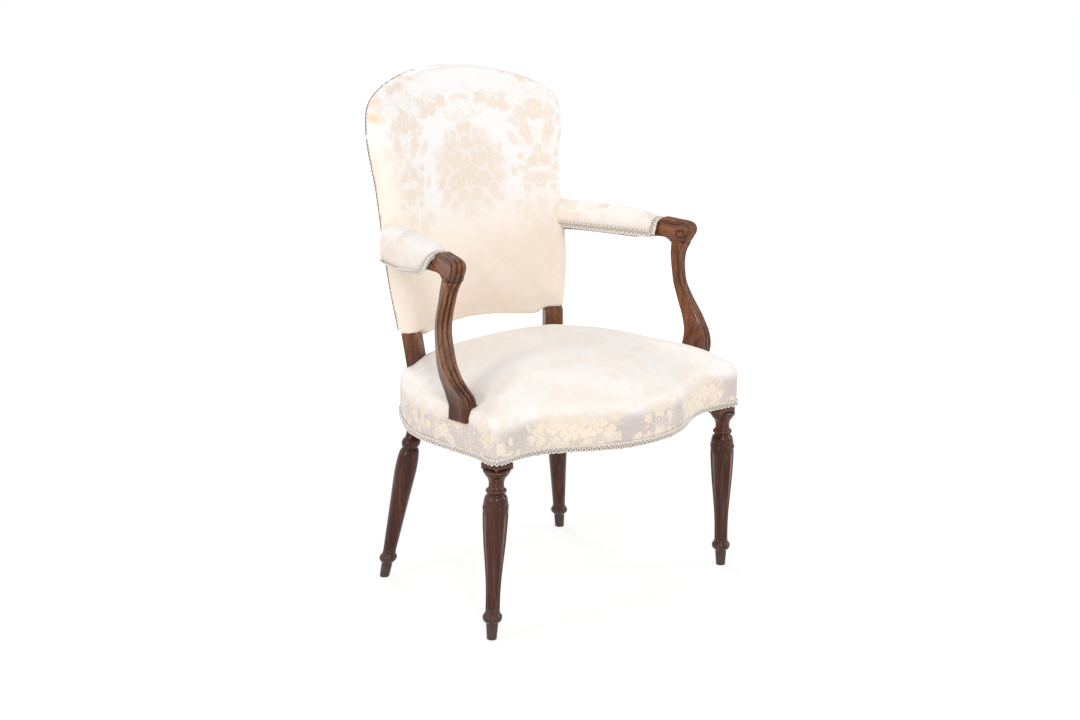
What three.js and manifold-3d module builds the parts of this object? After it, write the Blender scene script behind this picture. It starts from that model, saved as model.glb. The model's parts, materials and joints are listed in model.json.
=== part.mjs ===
// An open armchair with a hooped, upholstered back, in millimetres, +Z up.
// The front faces -Y. Left and right are as seen by someone facing the chair.
// The piece stands with its foot bottoms at z = 0, centred on the origin.
// Frame: turned mahogany legs and arms, beech seat and back rails.
// Upholstery: webbing, hessian, horsehair, a silk cover and a woven gimp.

import * as THREE from 'three';
import { mergeGeometries, mergeVertices } from 'three/addons/utils/BufferGeometryUtils.js';
import Module from 'manifold-3d';

const wasm = await Module();
wasm.setup();

// Clearances shared by all the pieces
const fit = 0.3;
const overrun = 2;
const weld = 0.0005;

// Front legs
const frontBlockEdge = 25.4;
const frontSplay = 8.9;
const frontTurnedHeight = 307;
const frontLegRadius = 22.4;
const frontBlockSide = 34;
const frontBlockY = 3;
const frontBlockInset = 3.6;
const fluteCount = 8;
const fluteDepth = 1.6;
const fluteBottom = 56;
const fluteTop = 234;

// Back posts: turned leg, square block in the seat, stile above
const backLegSpread = 50;
const backLegRake = 35;
const backTurnedHeight = 313;
const backLegRadius = 20.8;
const postBlockEdge = 21;
const postBlockSide = 36;
const stileStart = 402;
const stileWidth = 31;
const stileFace = 1;

// Seat rails
const railBottom = 323;
const railTop = 388;
const railThickness = 30;
const tenonThickness = 11;
const tenonLength = 17;
const railTenonHeight = 44;

// Seat outline, to the outside of the cover
const seatHalfWidth = 312.6;
const seatCornerY = -21.8;
const seatFrontBulge = 71;
const seatSideDepth = 386;
const seatRearHalfWidth = 202;
const seatRearBow = 36;

// Seat upholstery
const coverThickness = 2;
const coverBottom = 320.6;
const rollHeight = 402;
const rollRadius = 9;
const seatCrown = 70;
const seatCrownPower = 2.5;
const webbingWidth = 48;
const webbingThickness = 1;
const webbingSpacing = 92;
const webbingInset = 20;
const webbingFirstY = 64;
const hessianThickness = 1;
const hessianInset = 18.5;
const gimpHeight = 12;
const gimpThickness = 2.2;
const bottomClothThickness = 1.2;
const bottomClothInset = 8;

// Back: outline, rake, hollow in plan and layers from front to rear
const backBottom = 458;
const backHeight = 487;
const backHalfWidth = 226.5;
const backFootHalfWidth = 189.6;
const backShoulderShare = 0.702;
const backFrontY = 329;
const backRake = 0.136;
const backBow = 58;
const backCrown = 18;
const backCrownPower = 2.4;
const backPadEdge = 3;
const backFrameDepth = 23;
const backFrameWidth = 31;
const crestJointShare = 0.768;
const backWebbingSpacing = 130;
const backTenonHeight = 22;
const backTenonLength = 20;

// Arms: each lies in an upright plane that spreads outward to the front
const armRearSpread = 8.2;
const armRearDepth = 11.8;
const armFrontInset = 21.6;
const armFrontSetback = 28.5;
const armWidth = 28;
const armLength = 288;
const armEdge = 6;
const armKnuckleTop = 661;
const armJointHeight = 619;
const padSetback = 68;
const padWidth = 50;
const padEndWidth = 42;
const padTop = 680;
const padBottom = 628.5;
const padOuterDrop = 8;
const padInnerLean = 12;
const padOuterLean = 46;
const padStart = -12;
const padCoverThickness = 1.6;
const armGimpHeight = 8;
const armGimpThickness = 1.6;
const roundelRadius = 8.5;
const roundelProud = 1.2;
const roundelSetback = 26;
const roundelRise = 15.5;
const knuckleTenonSetback = 24.5;

// Arm supports
const footBottom = 379;
const supportFootEdge = 14.6;
const supportFootY = 83.5;
const supportTenonThickness = 10;
const supportTenonWidth = 34;
const supportTenonDepth = 30;
const knuckleTenonDepth = 18;
const knuckleTenonSide = 13;

// Corner blocks and screws
const frontBlockReach = 62;
const rearBlockReach = 50;
const cornerBlockBottom = 334;
const cornerBlockHeight = 42;
const screwShankRadius = 2.2;
const screwHeadRadius = 4.4;
const screwHeadHeight = 2.8;
const cornerScrewLength = 52;
const armScrewLength = 58;
const armScrewSetback = 20;
const supportScrewLength = 24;
const armScrewRise = 17;
const supportScrewDrop = 16;

// Smoothness, as counts of steps
const seatFrontSteps = 14;
const seatSideSteps = 8;
const seatRearSteps = 6;
const backHalfSteps = 15;
const screwSides = 8;
const backLegSides = 12;

// Finishes

const finish = {
  mahogany: { color: '#4a261b', roughness: 0.38, metalness: 0 },
  beech: { color: '#c39b6d', roughness: 0.75, metalness: 0 },
  silk: { color: '#e9e2da', roughness: 0.55, metalness: 0 },
  gimp: { color: '#d9d2c8', roughness: 0.85, metalness: 0 },
  webbing: { color: '#b19a75', roughness: 0.95, metalness: 0 },
  hessian: { color: '#a98d63', roughness: 0.95, metalness: 0 },
  horsehair: { color: '#2e2723', roughness: 0.95, metalness: 0 },
  calico: { color: '#d8cfc0', roughness: 0.9, metalness: 0 },
  steel: { color: '#8b8c8e', roughness: 0.4, metalness: 1 },
};

// Solids: a closed geometry is welded and turned face out before it is cut or joined

function signedVolume(position, index) {
  const a = new THREE.Vector3();
  const b = new THREE.Vector3();
  const c = new THREE.Vector3();
  let volume = 0;
  for (let i = 0; i < index.length; i += 3) {
    a.fromBufferAttribute(position, index[i]);
    b.fromBufferAttribute(position, index[i + 1]);
    c.fromBufferAttribute(position, index[i + 2]);
    volume += a.dot(b.cross(c));
  }
  return volume;
}

function solidOf(geometry) {
  const bare = geometry.clone();
  bare.deleteAttribute('normal');
  bare.deleteAttribute('uv');
  const welded = mergeVertices(bare, weld);
  const index = welded.index.array;
  const faces = [];
  const inward = signedVolume(welded.attributes.position, index) < 0;
  for (let i = 0; i < index.length; i += 3) {
    const [a, b, c] = [index[i], index[i + 1], index[i + 2]];
    if (a !== b && b !== c && c !== a) faces.push(a, inward ? c : b, inward ? b : c);
  }
  return new wasm.Manifold(new wasm.Mesh({
    numProp: 3,
    vertProperties: welded.attributes.position.array,
    triVerts: new Uint32Array(faces),
  }));
}

function geometryOf(solid) {
  const mesh = solid.getMesh();
  const geometry = new THREE.BufferGeometry();
  geometry.setAttribute('position', new THREE.BufferAttribute(mesh.vertProperties, 3));
  geometry.setIndex(new THREE.BufferAttribute(mesh.triVerts, 1));
  geometry.computeVertexNormals();
  return geometry;
}

function cutBy(solid, ...tools) {
  return tools.reduce((rest, tool) => rest.subtract(tool), solid);
}

function joined(first, ...others) {
  return others.reduce((whole, other) => whole.add(other), first);
}

// Moves every vertex of a geometry to where place(vertex, uv) says
function reshape(geometry, place) {
  const position = geometry.attributes.position;
  const uv = geometry.attributes.uv;
  const vertex = new THREE.Vector3();
  const share = new THREE.Vector2();
  for (let i = 0; i < position.count; i += 1) {
    vertex.fromBufferAttribute(position, i);
    share.fromBufferAttribute(uv, i);
    const moved = place(vertex, share);
    position.setXYZ(i, moved.x, moved.y, moved.z);
  }
  return geometry;
}

function block(x0, x1, y0, y1, z0, z1) {
  const box = new THREE.BoxGeometry(x1 - x0, y1 - y0, z1 - z0);
  return solidOf(box.translate((x0 + x1) / 2, (y0 + y1) / 2, (z0 + z1) / 2));
}

// A straight prism of a closed loop of points, with an optional loop as its hole
function prism(loop, z0, z1, hole) {
  const shape = new THREE.Shape(loop);
  if (hole) shape.holes.push(new THREE.Path(hole));
  const geometry = new THREE.ExtrudeGeometry(shape, { depth: z1 - z0, bevelEnabled: false });
  return solidOf(geometry.translate(0, 0, z0));
}

// A square of side 1 with round rear corners and reeds along its front edge
function unitReededSquare(cornerShare, reeds, reliefShare) {
  const half = 1 / 2;
  const radius = half / reeds;
  const root = reliefShare - half;
  const shape = new THREE.Shape();
  shape.moveTo(-half, half - cornerShare);
  for (let i = 0; i < reeds; i += 1) {
    const middle = (2 * i + 1) * radius - half;
    shape.absellipse(middle, root, radius, reliefShare, Math.PI, 2 * Math.PI, false);
  }
  shape.lineTo(half, half - cornerShare);
  shape.absarc(half - cornerShare, half - cornerShare, cornerShare, 0, Math.PI / 2, false);
  shape.absarc(cornerShare - half, half - cornerShare, cornerShare, Math.PI / 2, Math.PI, false);
  return shape;
}

function unitRoundedSquare(cornerShare) {
  const inner = 1 / 2 - cornerShare;
  const shape = new THREE.Shape();
  shape.absarc(inner, -inner, cornerShare, -Math.PI / 2, 0, false);
  shape.absarc(inner, inner, cornerShare, 0, Math.PI / 2, false);
  shape.absarc(-inner, inner, cornerShare, Math.PI / 2, Math.PI, false);
  shape.absarc(-inner, -inner, cornerShare, Math.PI, 3 * Math.PI / 2, false);
  return shape;
}

// Runs a unit section through stations and places each point by place(u, v, t)
function sweep(shape, steps, curveSegments, place) {
  const settings = { depth: 1, steps, curveSegments, bevelEnabled: false };
  return solidOf(reshape(new THREE.ExtrudeGeometry(shape, settings), (p) => place(p.x, p.y, p.z)));
}

// Offsets a closed loop inward, keeping its corners mitred
function inset(loop, amount) {
  const count = loop.length;
  const turn = Math.sign(THREE.ShapeUtils.area(loop));
  return loop.map((point, i) => {
    const before = point.clone().sub(loop[(i + count - 1) % count]).normalize();
    const after = loop[(i + 1) % count].clone().sub(point).normalize();
    const first = new THREE.Vector2(-before.y, before.x).multiplyScalar(turn);
    const second = new THREE.Vector2(-after.y, after.x).multiplyScalar(turn);
    const reach = amount / (1 + first.dot(second));
    return point.clone().addScaledVector(first.add(second), reach);
  });
}

// Spreads turned rings over a closed loop: a ring's radius is its share of the way from
// the centre to the loop. The rim, at share 1, can have a loop of its own.
function overLoop(profile, loop, centre, place, rim = loop) {
  return reshape(new THREE.LatheGeometry(profile, loop.length), (vertex, share) => {
    const reach = Math.hypot(vertex.x, vertex.z);
    const edge = reach > 1 - weld ? rim : loop;
    const spoke = edge[Math.round(share.x * loop.length) % loop.length];
    return place(centre.clone().lerp(spoke, reach), vertex.y);
  });
}

// Joins a front, a rim and a rear of rings into one closed sheet. The rear is the front's
// pattern turned over, so that sheets laid over one another have matching facets.
function closedSheet(front, rear, cover) {
  const wall = [rear[0], front[0]];
  const back = cover(rear);
  back.index.array.reverse();
  return solidOf(mergeGeometries([cover(front), cover(wall), back]));
}

// Turned work: shares of the greatest radius and of the turned height, from foot to top

const frontProfileShares = [
  [0, 0], [0.4, 0], [0.48, 0.088], [0.62, 0.108], [0.76, 0.122], [0.76, 0.14], [0.6, 0.158],
  [0.56, 0.175], [0.562, 0.27], [0.625, 0.365], [0.735, 0.46], [0.845, 0.545], [0.94, 0.645],
  [1, 0.74], [0.975, 0.785], [0.915, 0.815], [0.76, 0.832], [0.68, 0.845], [0.8, 0.87],
  [0.6, 0.9], [0.6, 0.93], [0.7, 0.952], [0.9, 0.972], [1.04, 0.985], [1.06, 1], [0, 1],
];

const backProfileShares = [
  [0, 0], [0.44, 0], [0.5, 0.08], [0.62, 0.1], [0.78, 0.115], [0.78, 0.13], [0.62, 0.147],
  [0.59, 0.165], [0.66, 0.25], [0.75, 0.37], [0.86, 0.5], [0.97, 0.62], [1, 0.68], [0.97, 0.74],
  [0.86, 0.79], [0.7, 0.808], [0.8, 0.825], [0.83, 0.843], [0.78, 0.86], [0.62, 0.875],
  [0.62, 0.93], [0.75, 0.96], [0.84, 0.985], [0.84, 1], [0, 1],
];

function turnedProfile(shares, radius, height) {
  return shares.map(([r, h]) => new THREE.Vector2(r * radius, h * height));
}

function fluteFade(height) {
  const middle = (fluteTop + fluteBottom) / 2;
  const reach = (fluteTop - fluteBottom) / 2;
  return Math.abs(height - middle) < reach ? 1 : 0;
}

// The front leg is turned and fluted below a square block that takes the rails
function frontLegTurning() {
  const sides = fluteCount * 2;
  const profile = turnedProfile(frontProfileShares, frontLegRadius, frontTurnedHeight);
  const geometry = new THREE.LatheGeometry(profile, sides);
  const footX = frontBlockX + frontBlockInset + frontSplay;
  return solidOf(reshape(geometry, (vertex, share) => {
    const inGroove = Math.round(share.x * sides) % 2 === 1;
    const radius = Math.hypot(vertex.x, vertex.z);
    const depth = inGroove && radius > 0 ? fluteDepth * fluteFade(vertex.y) : 0;
    const rest = radius > 0 ? (radius - depth) / radius : 0;
    const lean = frontSplay * vertex.y / frontTurnedHeight;
    return new THREE.Vector3(footX - lean + vertex.x * rest, vertex.z * rest, vertex.y);
  }));
}

const frontBlockX = seatHalfWidth - frontBlockEdge;

function frontBlock(clearance) {
  const half = frontBlockSide / 2 + clearance;
  const x = frontBlockX;
  const y = frontBlockY;
  return block(x - half, x + half, y - half, y + half, frontTurnedHeight - weld, railTop);
}

// Seat outline, right half: shares of the named half width, bulge, depth and bow

const seatFrontShares = [
  [0, 1], [0.16, 0.92], [0.27, 0.765], [0.37, 0.565], [0.51, 0.2], [0.61, 0], [0.69, -0.095],
  [0.77, -0.12], [0.88, -0.067], [1, 0],
];

const seatSideShares = [
  [1, 0], [0.993, 0.062], [0.972, 0.16], [0.967, 0.334], [0.963, 0.468], [0.948, 0.562],
  [0.9, 0.683], [0.819, 0.805], [0.768, 0.865], [0.704, 0.94],
];

function seatLoop() {
  const mirror = (point) => new THREE.Vector2(-point.x, point.y);
  const front = seatFrontShares.map(([x, y]) => (
    new THREE.Vector2(x * seatHalfWidth, seatCornerY - y * seatFrontBulge)));
  const side = seatSideShares.map(([x, y]) => (
    new THREE.Vector2(x * seatHalfWidth, seatCornerY + y * seatSideDepth)));
  side.push(new THREE.Vector2(seatRearHalfWidth, seatCornerY + seatSideDepth));
  const wholeFront = [...front.slice(1).reverse().map(mirror), ...front];
  const frontRun = new THREE.SplineCurve(wholeFront).getSpacedPoints(seatFrontSteps);
  const rightRun = new THREE.SplineCurve(side).getSpacedPoints(seatSideSteps);
  const rear = [];
  for (let i = 0; i <= seatRearSteps; i += 1) {
    const across = 1 - 2 * i / seatRearSteps;
    const y = seatCornerY + seatSideDepth + seatRearBow * (1 - across ** 2);
    rear.push(new THREE.Vector2(across * seatRearHalfWidth, y));
  }
  const leftRun = rightRun.map(mirror).reverse();
  return [...frontRun.slice(0, -1), ...rightRun.slice(0, -1), ...rear.slice(0, -1),
    ...leftRun.slice(0, -1)];
}

const seatOutline = seatLoop();
const seatCentre = new THREE.Vector2(0, (seatCornerY + seatSideDepth) / 2);
const skin = coverThickness + fit;

// The cover's outside: an upright border, a rolled edge, then the crown
function seatForm(depthIn, bottom) {
  const roundShares = [0, 0.5, 1];
  const crownShares = [0.86, 0.68, 0.42, 0];
  const reachIn = rollRadius / seatHalfWidth;
  const crownAt = (r) => rollHeight + seatCrown * (1 - r ** seatCrownPower);
  const rimRise = crownAt(1 - reachIn) - (rollHeight - rollRadius);
  const profile = [new THREE.Vector2(0, bottom), new THREE.Vector2(1, bottom)];
  roundShares.forEach((share) => {
    const angle = share * Math.PI / 2;
    const r = 1 - reachIn * (1 - Math.cos(angle));
    const rise = rollHeight - rollRadius + rimRise * Math.sin(angle);
    profile.push(new THREE.Vector2(r, rise - depthIn * Math.sin(angle)));
  });
  crownShares.forEach((share) => profile.push(new THREE.Vector2(share, crownAt(share) - depthIn)));
  const loop = inset(seatOutline, depthIn);
  const place = (p, height) => new THREE.Vector3(p.x, p.y, height);
  return solidOf(overLoop(profile, loop, seatCentre, place));
}

function seatRing(outside, thickness, z0, z1) {
  return prism(inset(seatOutline, outside), z0, z1, inset(seatOutline, outside + thickness));
}

function seatSheet(edge, z0, z1) {
  return prism(inset(seatOutline, edge), z0, z1);
}

// Back outline, right half from the middle of the bottom rail up to the crest:
// shares of the named half width and height

const backOutlineShares = [
  [0, 0.018], [0.28, 0.012], [0.5, 0.002], [0.635, 0], [0.672, 0.02], [0.837, 0.023],
];

const backSideShares = [
  [0.837, 0.023], [0.87, 0.097], [0.901, 0.19], [0.922, 0.29], [0.93, 0.38], [0.931, 0.47],
  [0.943, 0.575], [0.972, 0.665], [0.996, 0.735], [1, 0.795], [0.985, 0.842], [0.95, 0.877],
  [0.883, 0.906], [0.79, 0.928], [0.66, 0.952], [0.5, 0.973], [0.33, 0.988], [0.16, 0.997],
  [0, 1],
];

function backLoop() {
  const place = ([x, z]) => new THREE.Vector2(x * backHalfWidth, backBottom + z * backHeight);
  const mirror = (point) => new THREE.Vector2(-point.x, point.y);
  const sill = backOutlineShares.slice(0, -1).map(place);
  const side = backSideShares.map(place);
  const whole = [...side, ...side.slice(0, -1).reverse().map(mirror)];
  const hoop = new THREE.SplineCurve(whole).getSpacedPoints(2 * backHalfSteps);
  const leftSill = sill.slice(1).reverse().map(mirror);
  return [...sill, ...hoop, ...leftSill];
}

const backOutline = backLoop();
const backCentre = new THREE.Vector2(0, backBottom + backHeight / 2);
const backSideX = backOutlineShares.at(-1)[0] * backHalfWidth;

// The back is hollow in plan and leans back; its reach is the half width at a height
function backReach(z) {
  const rise = (z - backBottom) / (backHeight * backShoulderShare);
  return backFootHalfWidth + (backHalfWidth - backFootHalfWidth) * Math.min(rise, 1);
}

function backPoint(x, z, depth) {
  const reach = backReach(z);
  const slope = -2 * backBow * x / reach ** 2;
  const lean = Math.hypot(1, slope);
  const y = backFrontY + backRake * (z - backBottom) + backBow * (1 - (x / reach) ** 2);
  return new THREE.Vector3(x - slope / lean * depth, y + depth / lean, z);
}

const padRear = coverThickness + fit + backPadEdge;
const hessianRear = padRear + fit + hessianThickness;
const frameFront = hessianRear + 2 * (fit + webbingThickness) + fit;
const frameRear = frameFront + backFrameDepth;
const backThickness = frameRear + skin;

// A bar, tenon or strap that follows the back: x, z and depth from the front face
function backBlock(x0, x1, z0, z1, d0, d1, steps) {
  const box = new THREE.BoxGeometry(1, 1, 1, steps[0], steps[1], 1);
  return solidOf(reshape(box, (v) => backPoint(
    x0 + (v.x + 1 / 2) * (x1 - x0),
    z0 + (v.y + 1 / 2) * (z1 - z0),
    d0 + (v.z + 1 / 2) * (d1 - d0))));
}

// Layers of the back share these rings, so they lie evenly over one another
const sheetRingShares = [1, 0.92, 0.5, 0];
const crownRingShares = [1, 0.93, 0.75, 0.45, 0];
const hessianRingShare = 0.92;

function backForm(edge, front, rear, crown, rimShare = 1) {
  const rings = crown > 0 ? crownRingShares : sheetRingShares;
  const bulge = (r) => front - crown * (1 - r ** backCrownPower);
  const kept = (shares) => shares.filter((r) => r <= rimShare);
  const frontRings = kept(rings).map((r) => new THREE.Vector2(r, bulge(r)));
  const rearRings = kept(sheetRingShares).map((r) => new THREE.Vector2(r, rear));
  const rim = inset(backOutline, edge);
  const place = (p, depth) => backPoint(p.x, p.y, depth);
  return closedSheet(frontRings, rearRings, (profile) => (
    overLoop(profile, backOutline, backCentre, place, rim)));
}

const crestJoint = backBottom + backHeight * crestJointShare;
const farSide = seatHalfWidth * 2;
const farTop = backBottom + backHeight * 2;

// Upright loop pushed through the whole back, front to rear
function backPunch(loop) {
  const geometry = new THREE.ExtrudeGeometry(new THREE.Shape(loop), {
    depth: farSide, bevelEnabled: false });
  return solidOf(geometry.rotateX(Math.PI / 2).translate(0, farSide, 0));
}

// The back frame is one hooped band, sawn into crest, stiles and bottom rail
const band = cutBy(backForm(skin + fit, frameFront, frameRear, 0),
  backPunch(inset(backOutline, skin + backFrameWidth)));
const stileInner = backSideX - skin - stileWidth;

function crestTenon(clearance) {
  const middle = backPoint(0, crestJoint, 0);
  const outer = backOutline.reduce((reach, p) => (
    Math.abs(p.y - middle.z) < backHeight / backHalfSteps ? Math.max(reach, p.x) : reach), 0);
  const x1 = outer - skin - backFrameWidth / 4;
  const x0 = x1 - backFrameWidth / 2;
  const d0 = frameFront + backFrameDepth / 3;
  const d1 = frameRear - backFrameDepth / 3;
  const top = crestJoint + backTenonLength;
  return backBlock(x0 - clearance, x1 + clearance, crestJoint - overrun, top + clearance,
    d0 - clearance, d1 + clearance, [1, 1]);
}

function sillTenon(clearance) {
  const z0 = backBottom + backFrameWidth / 2;
  const d0 = frameFront + backFrameDepth / 3;
  const d1 = frameRear - backFrameDepth / 3;
  const root = stileInner - frameRear / 2;
  return backBlock(root, stileInner + backTenonLength + clearance,
    z0 - clearance, z0 + backTenonHeight + clearance, d0 - clearance, d1 + clearance, [1, 1]);
}

// The stile between block and back: a rounded bar that follows the back's surface
function stileShank(clearance) {
  const reachAt = (z) => backReach(z) - skin;
  const top = backBottom + backFrameWidth;
  const cornerShare = 0.22;
  return sweep(unitRoundedSquare(cornerShare), 5, 1, (u, v, t) => {
    const z = railTop - overrun + t * (top - railTop + overrun);
    const x = reachAt(z) - stileWidth / 2 + u * (stileWidth + 2 * clearance);
    const deep = frameRear - stileFace;
    const onBack = backPoint(x, z, stileFace + deep / 2 + v * (deep + 2 * clearance));
    const side = postBlockSide + 2 * clearance;
    const inBlock = new THREE.Vector3(postBlockX + u * side, postBlockY + v * side, z);
    const turn = THREE.MathUtils.smoothstep(z, railTop - overrun, stileStart);
    return inBlock.lerp(onBack, turn);
  });
}

// The stile goes on behind the upholstery by this narrower neck
function stileNeck(clearance) {
  const x0 = stileInner + backFrameWidth / 5;
  const x1 = backSideX - skin - overrun;
  return backBlock(x0 - clearance, x1 + clearance, backBottom - overrun,
    backBottom + backFrameWidth, frameFront - clearance, frameRear - overrun + clearance, [1, 1]);
}

const postBlockX = seatRearHalfWidth - postBlockEdge;
const postBlockY = seatCornerY + seatSideDepth - postBlockEdge;

function backLegTurning() {
  const profile = turnedProfile(backProfileShares, backLegRadius, backTurnedHeight);
  const geometry = new THREE.LatheGeometry(profile, backLegSides);
  return solidOf(reshape(geometry, (v) => {
    const rise = v.y / backTurnedHeight;
    const x = postBlockX + backLegSpread * (1 - rise) + v.x;
    return new THREE.Vector3(x, postBlockY + backLegRake * (1 - rise) + v.z, v.y);
  }));
}

function postBlock(clearance) {
  const half = postBlockSide / 2 + clearance;
  return block(postBlockX - half, postBlockX + half, postBlockY - half, postBlockY + half,
    backTurnedHeight - weld, railTop);
}

// Rails: one ring round the seat, sawn apart at the legs, with a tenon into each leg

const railRing = seatRing(skin, railThickness, railBottom, railTop);
const tenonZ = (railBottom + railTop - railTenonHeight) / 2;

function railTenonToFrontLeg(clearance) {
  const face = frontBlockX - frontBlockSide / 2;
  const y0 = frontBlockY - tenonThickness;
  return block(face - 2 * overrun, face + tenonLength + clearance,
    y0 - clearance, y0 + tenonThickness + clearance,
    tenonZ - clearance, tenonZ + railTenonHeight + clearance);
}

function sideTenonToFrontLeg(clearance) {
  const face = frontBlockY + frontBlockSide / 2;
  const x1 = frontBlockX + frontBlockSide / 2 - tenonThickness / 2;
  return block(x1 - tenonThickness - clearance, x1 + clearance,
    face - tenonLength - clearance, face + 2 * overrun,
    tenonZ - clearance, tenonZ + railTenonHeight + clearance);
}

function sideTenonToPost(clearance) {
  const face = postBlockX + postBlockSide / 2;
  const y0 = postBlockY - postBlockSide / 2 + tenonThickness / 3;
  return block(face - tenonLength + overrun - clearance, face + 2 * overrun,
    y0 - clearance, y0 + tenonThickness + clearance,
    tenonZ - clearance, tenonZ + railTenonHeight + clearance);
}

function rearTenonToPost(clearance) {
  const face = postBlockX - postBlockSide / 2;
  const y1 = postBlockY + postBlockSide / 2 - tenonThickness / 4;
  return block(face - 2 * overrun, face + tenonLength - overrun + clearance,
    y1 - tenonThickness - clearance, y1 + clearance,
    tenonZ - clearance, tenonZ + railTenonHeight + clearance);
}

// Mirrors a solid from the right side of the chair to the left
function mirrored(solid) {
  return solidOf(geometryOf(solid).scale(-1, 1, 1));
}

// Screws lie along a line from the head's outer face to the point

function screwAlong(from, toward, length, clearance) {
  const shank = screwShankRadius + clearance;
  const head = screwHeadRadius + clearance;
  const sink = clearance > 0 ? overrun : 0;
  const profile = [[0, -sink], [head, -sink], [head, 0], [shank, screwHeadHeight + clearance],
    [shank, length - screwHeadRadius], [0, length + clearance]];
  const points = profile.map(([r, h]) => new THREE.Vector2(r, h));
  const geometry = new THREE.LatheGeometry(points, screwSides);
  const up = new THREE.Vector3(0, 1, 0);
  const direction = toward.clone().sub(from).normalize();
  geometry.applyQuaternion(new THREE.Quaternion().setFromUnitVectors(up, direction));
  return solidOf(geometry.translate(from.x, from.y, from.z));
}

const screwZ = cornerBlockBottom + cornerBlockHeight / 2;
const railInside = skin + railThickness + fit;

function frontCornerScrew(clearance) {
  const corner = new THREE.Vector3(frontBlockX, frontBlockY, screwZ);
  const away = new THREE.Vector3(-1, 1, 0).normalize();
  const from = corner.clone().addScaledVector(away, frontBlockReach);
  return screwAlong(from, corner, cornerScrewLength, clearance);
}

function rearCornerScrew(clearance) {
  const corner = new THREE.Vector3(postBlockX, postBlockY, screwZ);
  const away = new THREE.Vector3(0, -1, 0);
  const from = corner.clone().addScaledVector(away, rearBlockReach);
  return screwAlong(from, corner, cornerScrewLength, clearance);
}

function cornerBlock(points, leg, screw) {
  const loop = points.map(([x, y]) => new THREE.Vector2(x, y));
  const wedge = prism(loop, cornerBlockBottom, cornerBlockBottom + cornerBlockHeight);
  const room = seatSheet(railInside, railBottom, railTop);
  return cutBy(wedge.intersect(room), leg, screw);
}

// Arms, in a plane of their own: reach along the arm from its rear, then height

const armScrewHeight = armJointHeight + armScrewRise;
const armRearX = backReach(armScrewHeight) + armRearSpread;
const armRearY = backFrontY + backRake * (armScrewHeight - backBottom) + armRearDepth;
const armLine = new THREE.Vector2(
  seatHalfWidth - armFrontInset - armRearX, supportFootY + armFrontSetback - armRearY).normalize();
const armYaw = Math.atan2(armLine.x, -armLine.y);

function armPoint(reach, aside, z) {
  return new THREE.Vector3(
    armRearX + armLine.x * reach - armLine.y * aside,
    armRearY + armLine.y * reach + armLine.x * aside, z);
}

// The arm's side view: shares of the arm's length and of its height over the joint
const armSideShares = [
  [-0.08, 0.03], [0.3, 0.13], [0.6, 0.17], [0.72, 0.2], [0.78, 0.22], [0.81, 0.18],
  [0.83, 0.08], [0.835, 0], [0.955, 0], [0.968, 0.1], [0.985, 0.3], [1, 0.55], [0.992, 0.78],
  [0.955, 0.94], [0.895, 0.99], [0.815, 1.02], [0.78, 1.08], [0.75, 1.08],
  [0.74, 0.62], [0.6, 0.62], [0.3, 0.62], [-0.08, 0.62],
];

function armSide(clearance) {
  const rise = armKnuckleTop - armJointHeight;
  const loop = armSideShares.map(([s, z]) => (
    new THREE.Vector2(s * armLength, armJointHeight + z * rise)));
  const between = armWidth - 2 * armEdge;
  const geometry = new THREE.ExtrudeGeometry(new THREE.Shape(inset(loop, -clearance)), {
    depth: between,
    bevelThickness: armEdge + clearance,
    bevelSize: armEdge,
    bevelOffset: -armEdge,
    bevelSegments: 2,
  });
  return solidOf(reshape(geometry, (v) => armPoint(v.x, v.z - between / 2, v.y)));
}

function roundel(face) {
  const disc = new THREE.CylinderGeometry(roundelRadius, roundelRadius, roundelProud + overrun, 16);
  const aside = face * (armWidth + roundelProud - overrun) / 2;
  return solidOf(reshape(disc, (v) => (
    armPoint(armLength - roundelSetback + v.x, aside + v.y, armJointHeight + roundelRise + v.z))));
}

// The pad is a long form with a domed top that sits over the arm like a saddle
const padSectionShares = [
  [-0.46, 0], [0.46, 0], [0.5, 0.4], [0.45, 0.76], [0.26, 0.95], [0, 1], [-0.26, 0.95],
  [-0.45, 0.76], [-0.5, 0.4],
];
const padRunShares = [0, 0.3, 0.6, 0.85, 0.96, 1];
const padHeightShares = [1, 1, 0.97, 0.91, 0.84, 0.68];

// The end leans more on the outer side than on the inner one
function padEndAt(u, v) {
  const outer = 1 / 2 + u;
  const lean = padOuterLean * outer + padInnerLean * (1 - outer);
  return armLength - padSetback - (1 - v) * lean;
}

function padForm(grow) {
  const loop = padSectionShares.map(([x, y]) => new THREE.Vector2(x, y));
  const steps = padRunShares.length - 1;
  return sweep(new THREE.Shape(loop), steps, 1, (u, v, t) => {
    const run = padRunShares[Math.round(t * steps)];
    const rise = (padTop - padBottom) * padHeightShares[Math.round(t * steps)];
    const width = THREE.MathUtils.lerp(padWidth, padEndWidth, run ** 3);
    const reach = THREE.MathUtils.lerp(padStart, padEndAt(u, v), run) + grow;
    const drop = padOuterDrop * (1 / 2 + u) * (1 - v);
    return armPoint(reach, u * (width + 2 * grow), padBottom - drop - grow + v * (rise + 2 * grow));
  });
}

// The gimp runs along both lower edges and up over the front end of the pad
function armGimpStrip() {
  const shape = new THREE.BoxGeometry(1, 1, 1);
  const edges = solidOf(reshape(shape, (p) => armPoint(
    p.x * armLength * 2,
    p.y * padWidth * 2,
    padBottom - padOuterDrop * (1 / 2 + p.y * 2) + fit + (p.z + 1 / 2) * armGimpHeight)));
  const arch = solidOf(reshape(new THREE.BoxGeometry(1, 1, 1), (p) => armPoint(
    padEndAt(p.y * 2, p.z * 2 + 1 / 2) - fit - (p.x + 1 / 2) * armGimpHeight,
    p.y * padWidth * 2,
    (padTop + padBottom) / 2 + p.z * (padTop - padBottom) * 2)));
  return joined(edges, arch);
}

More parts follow.
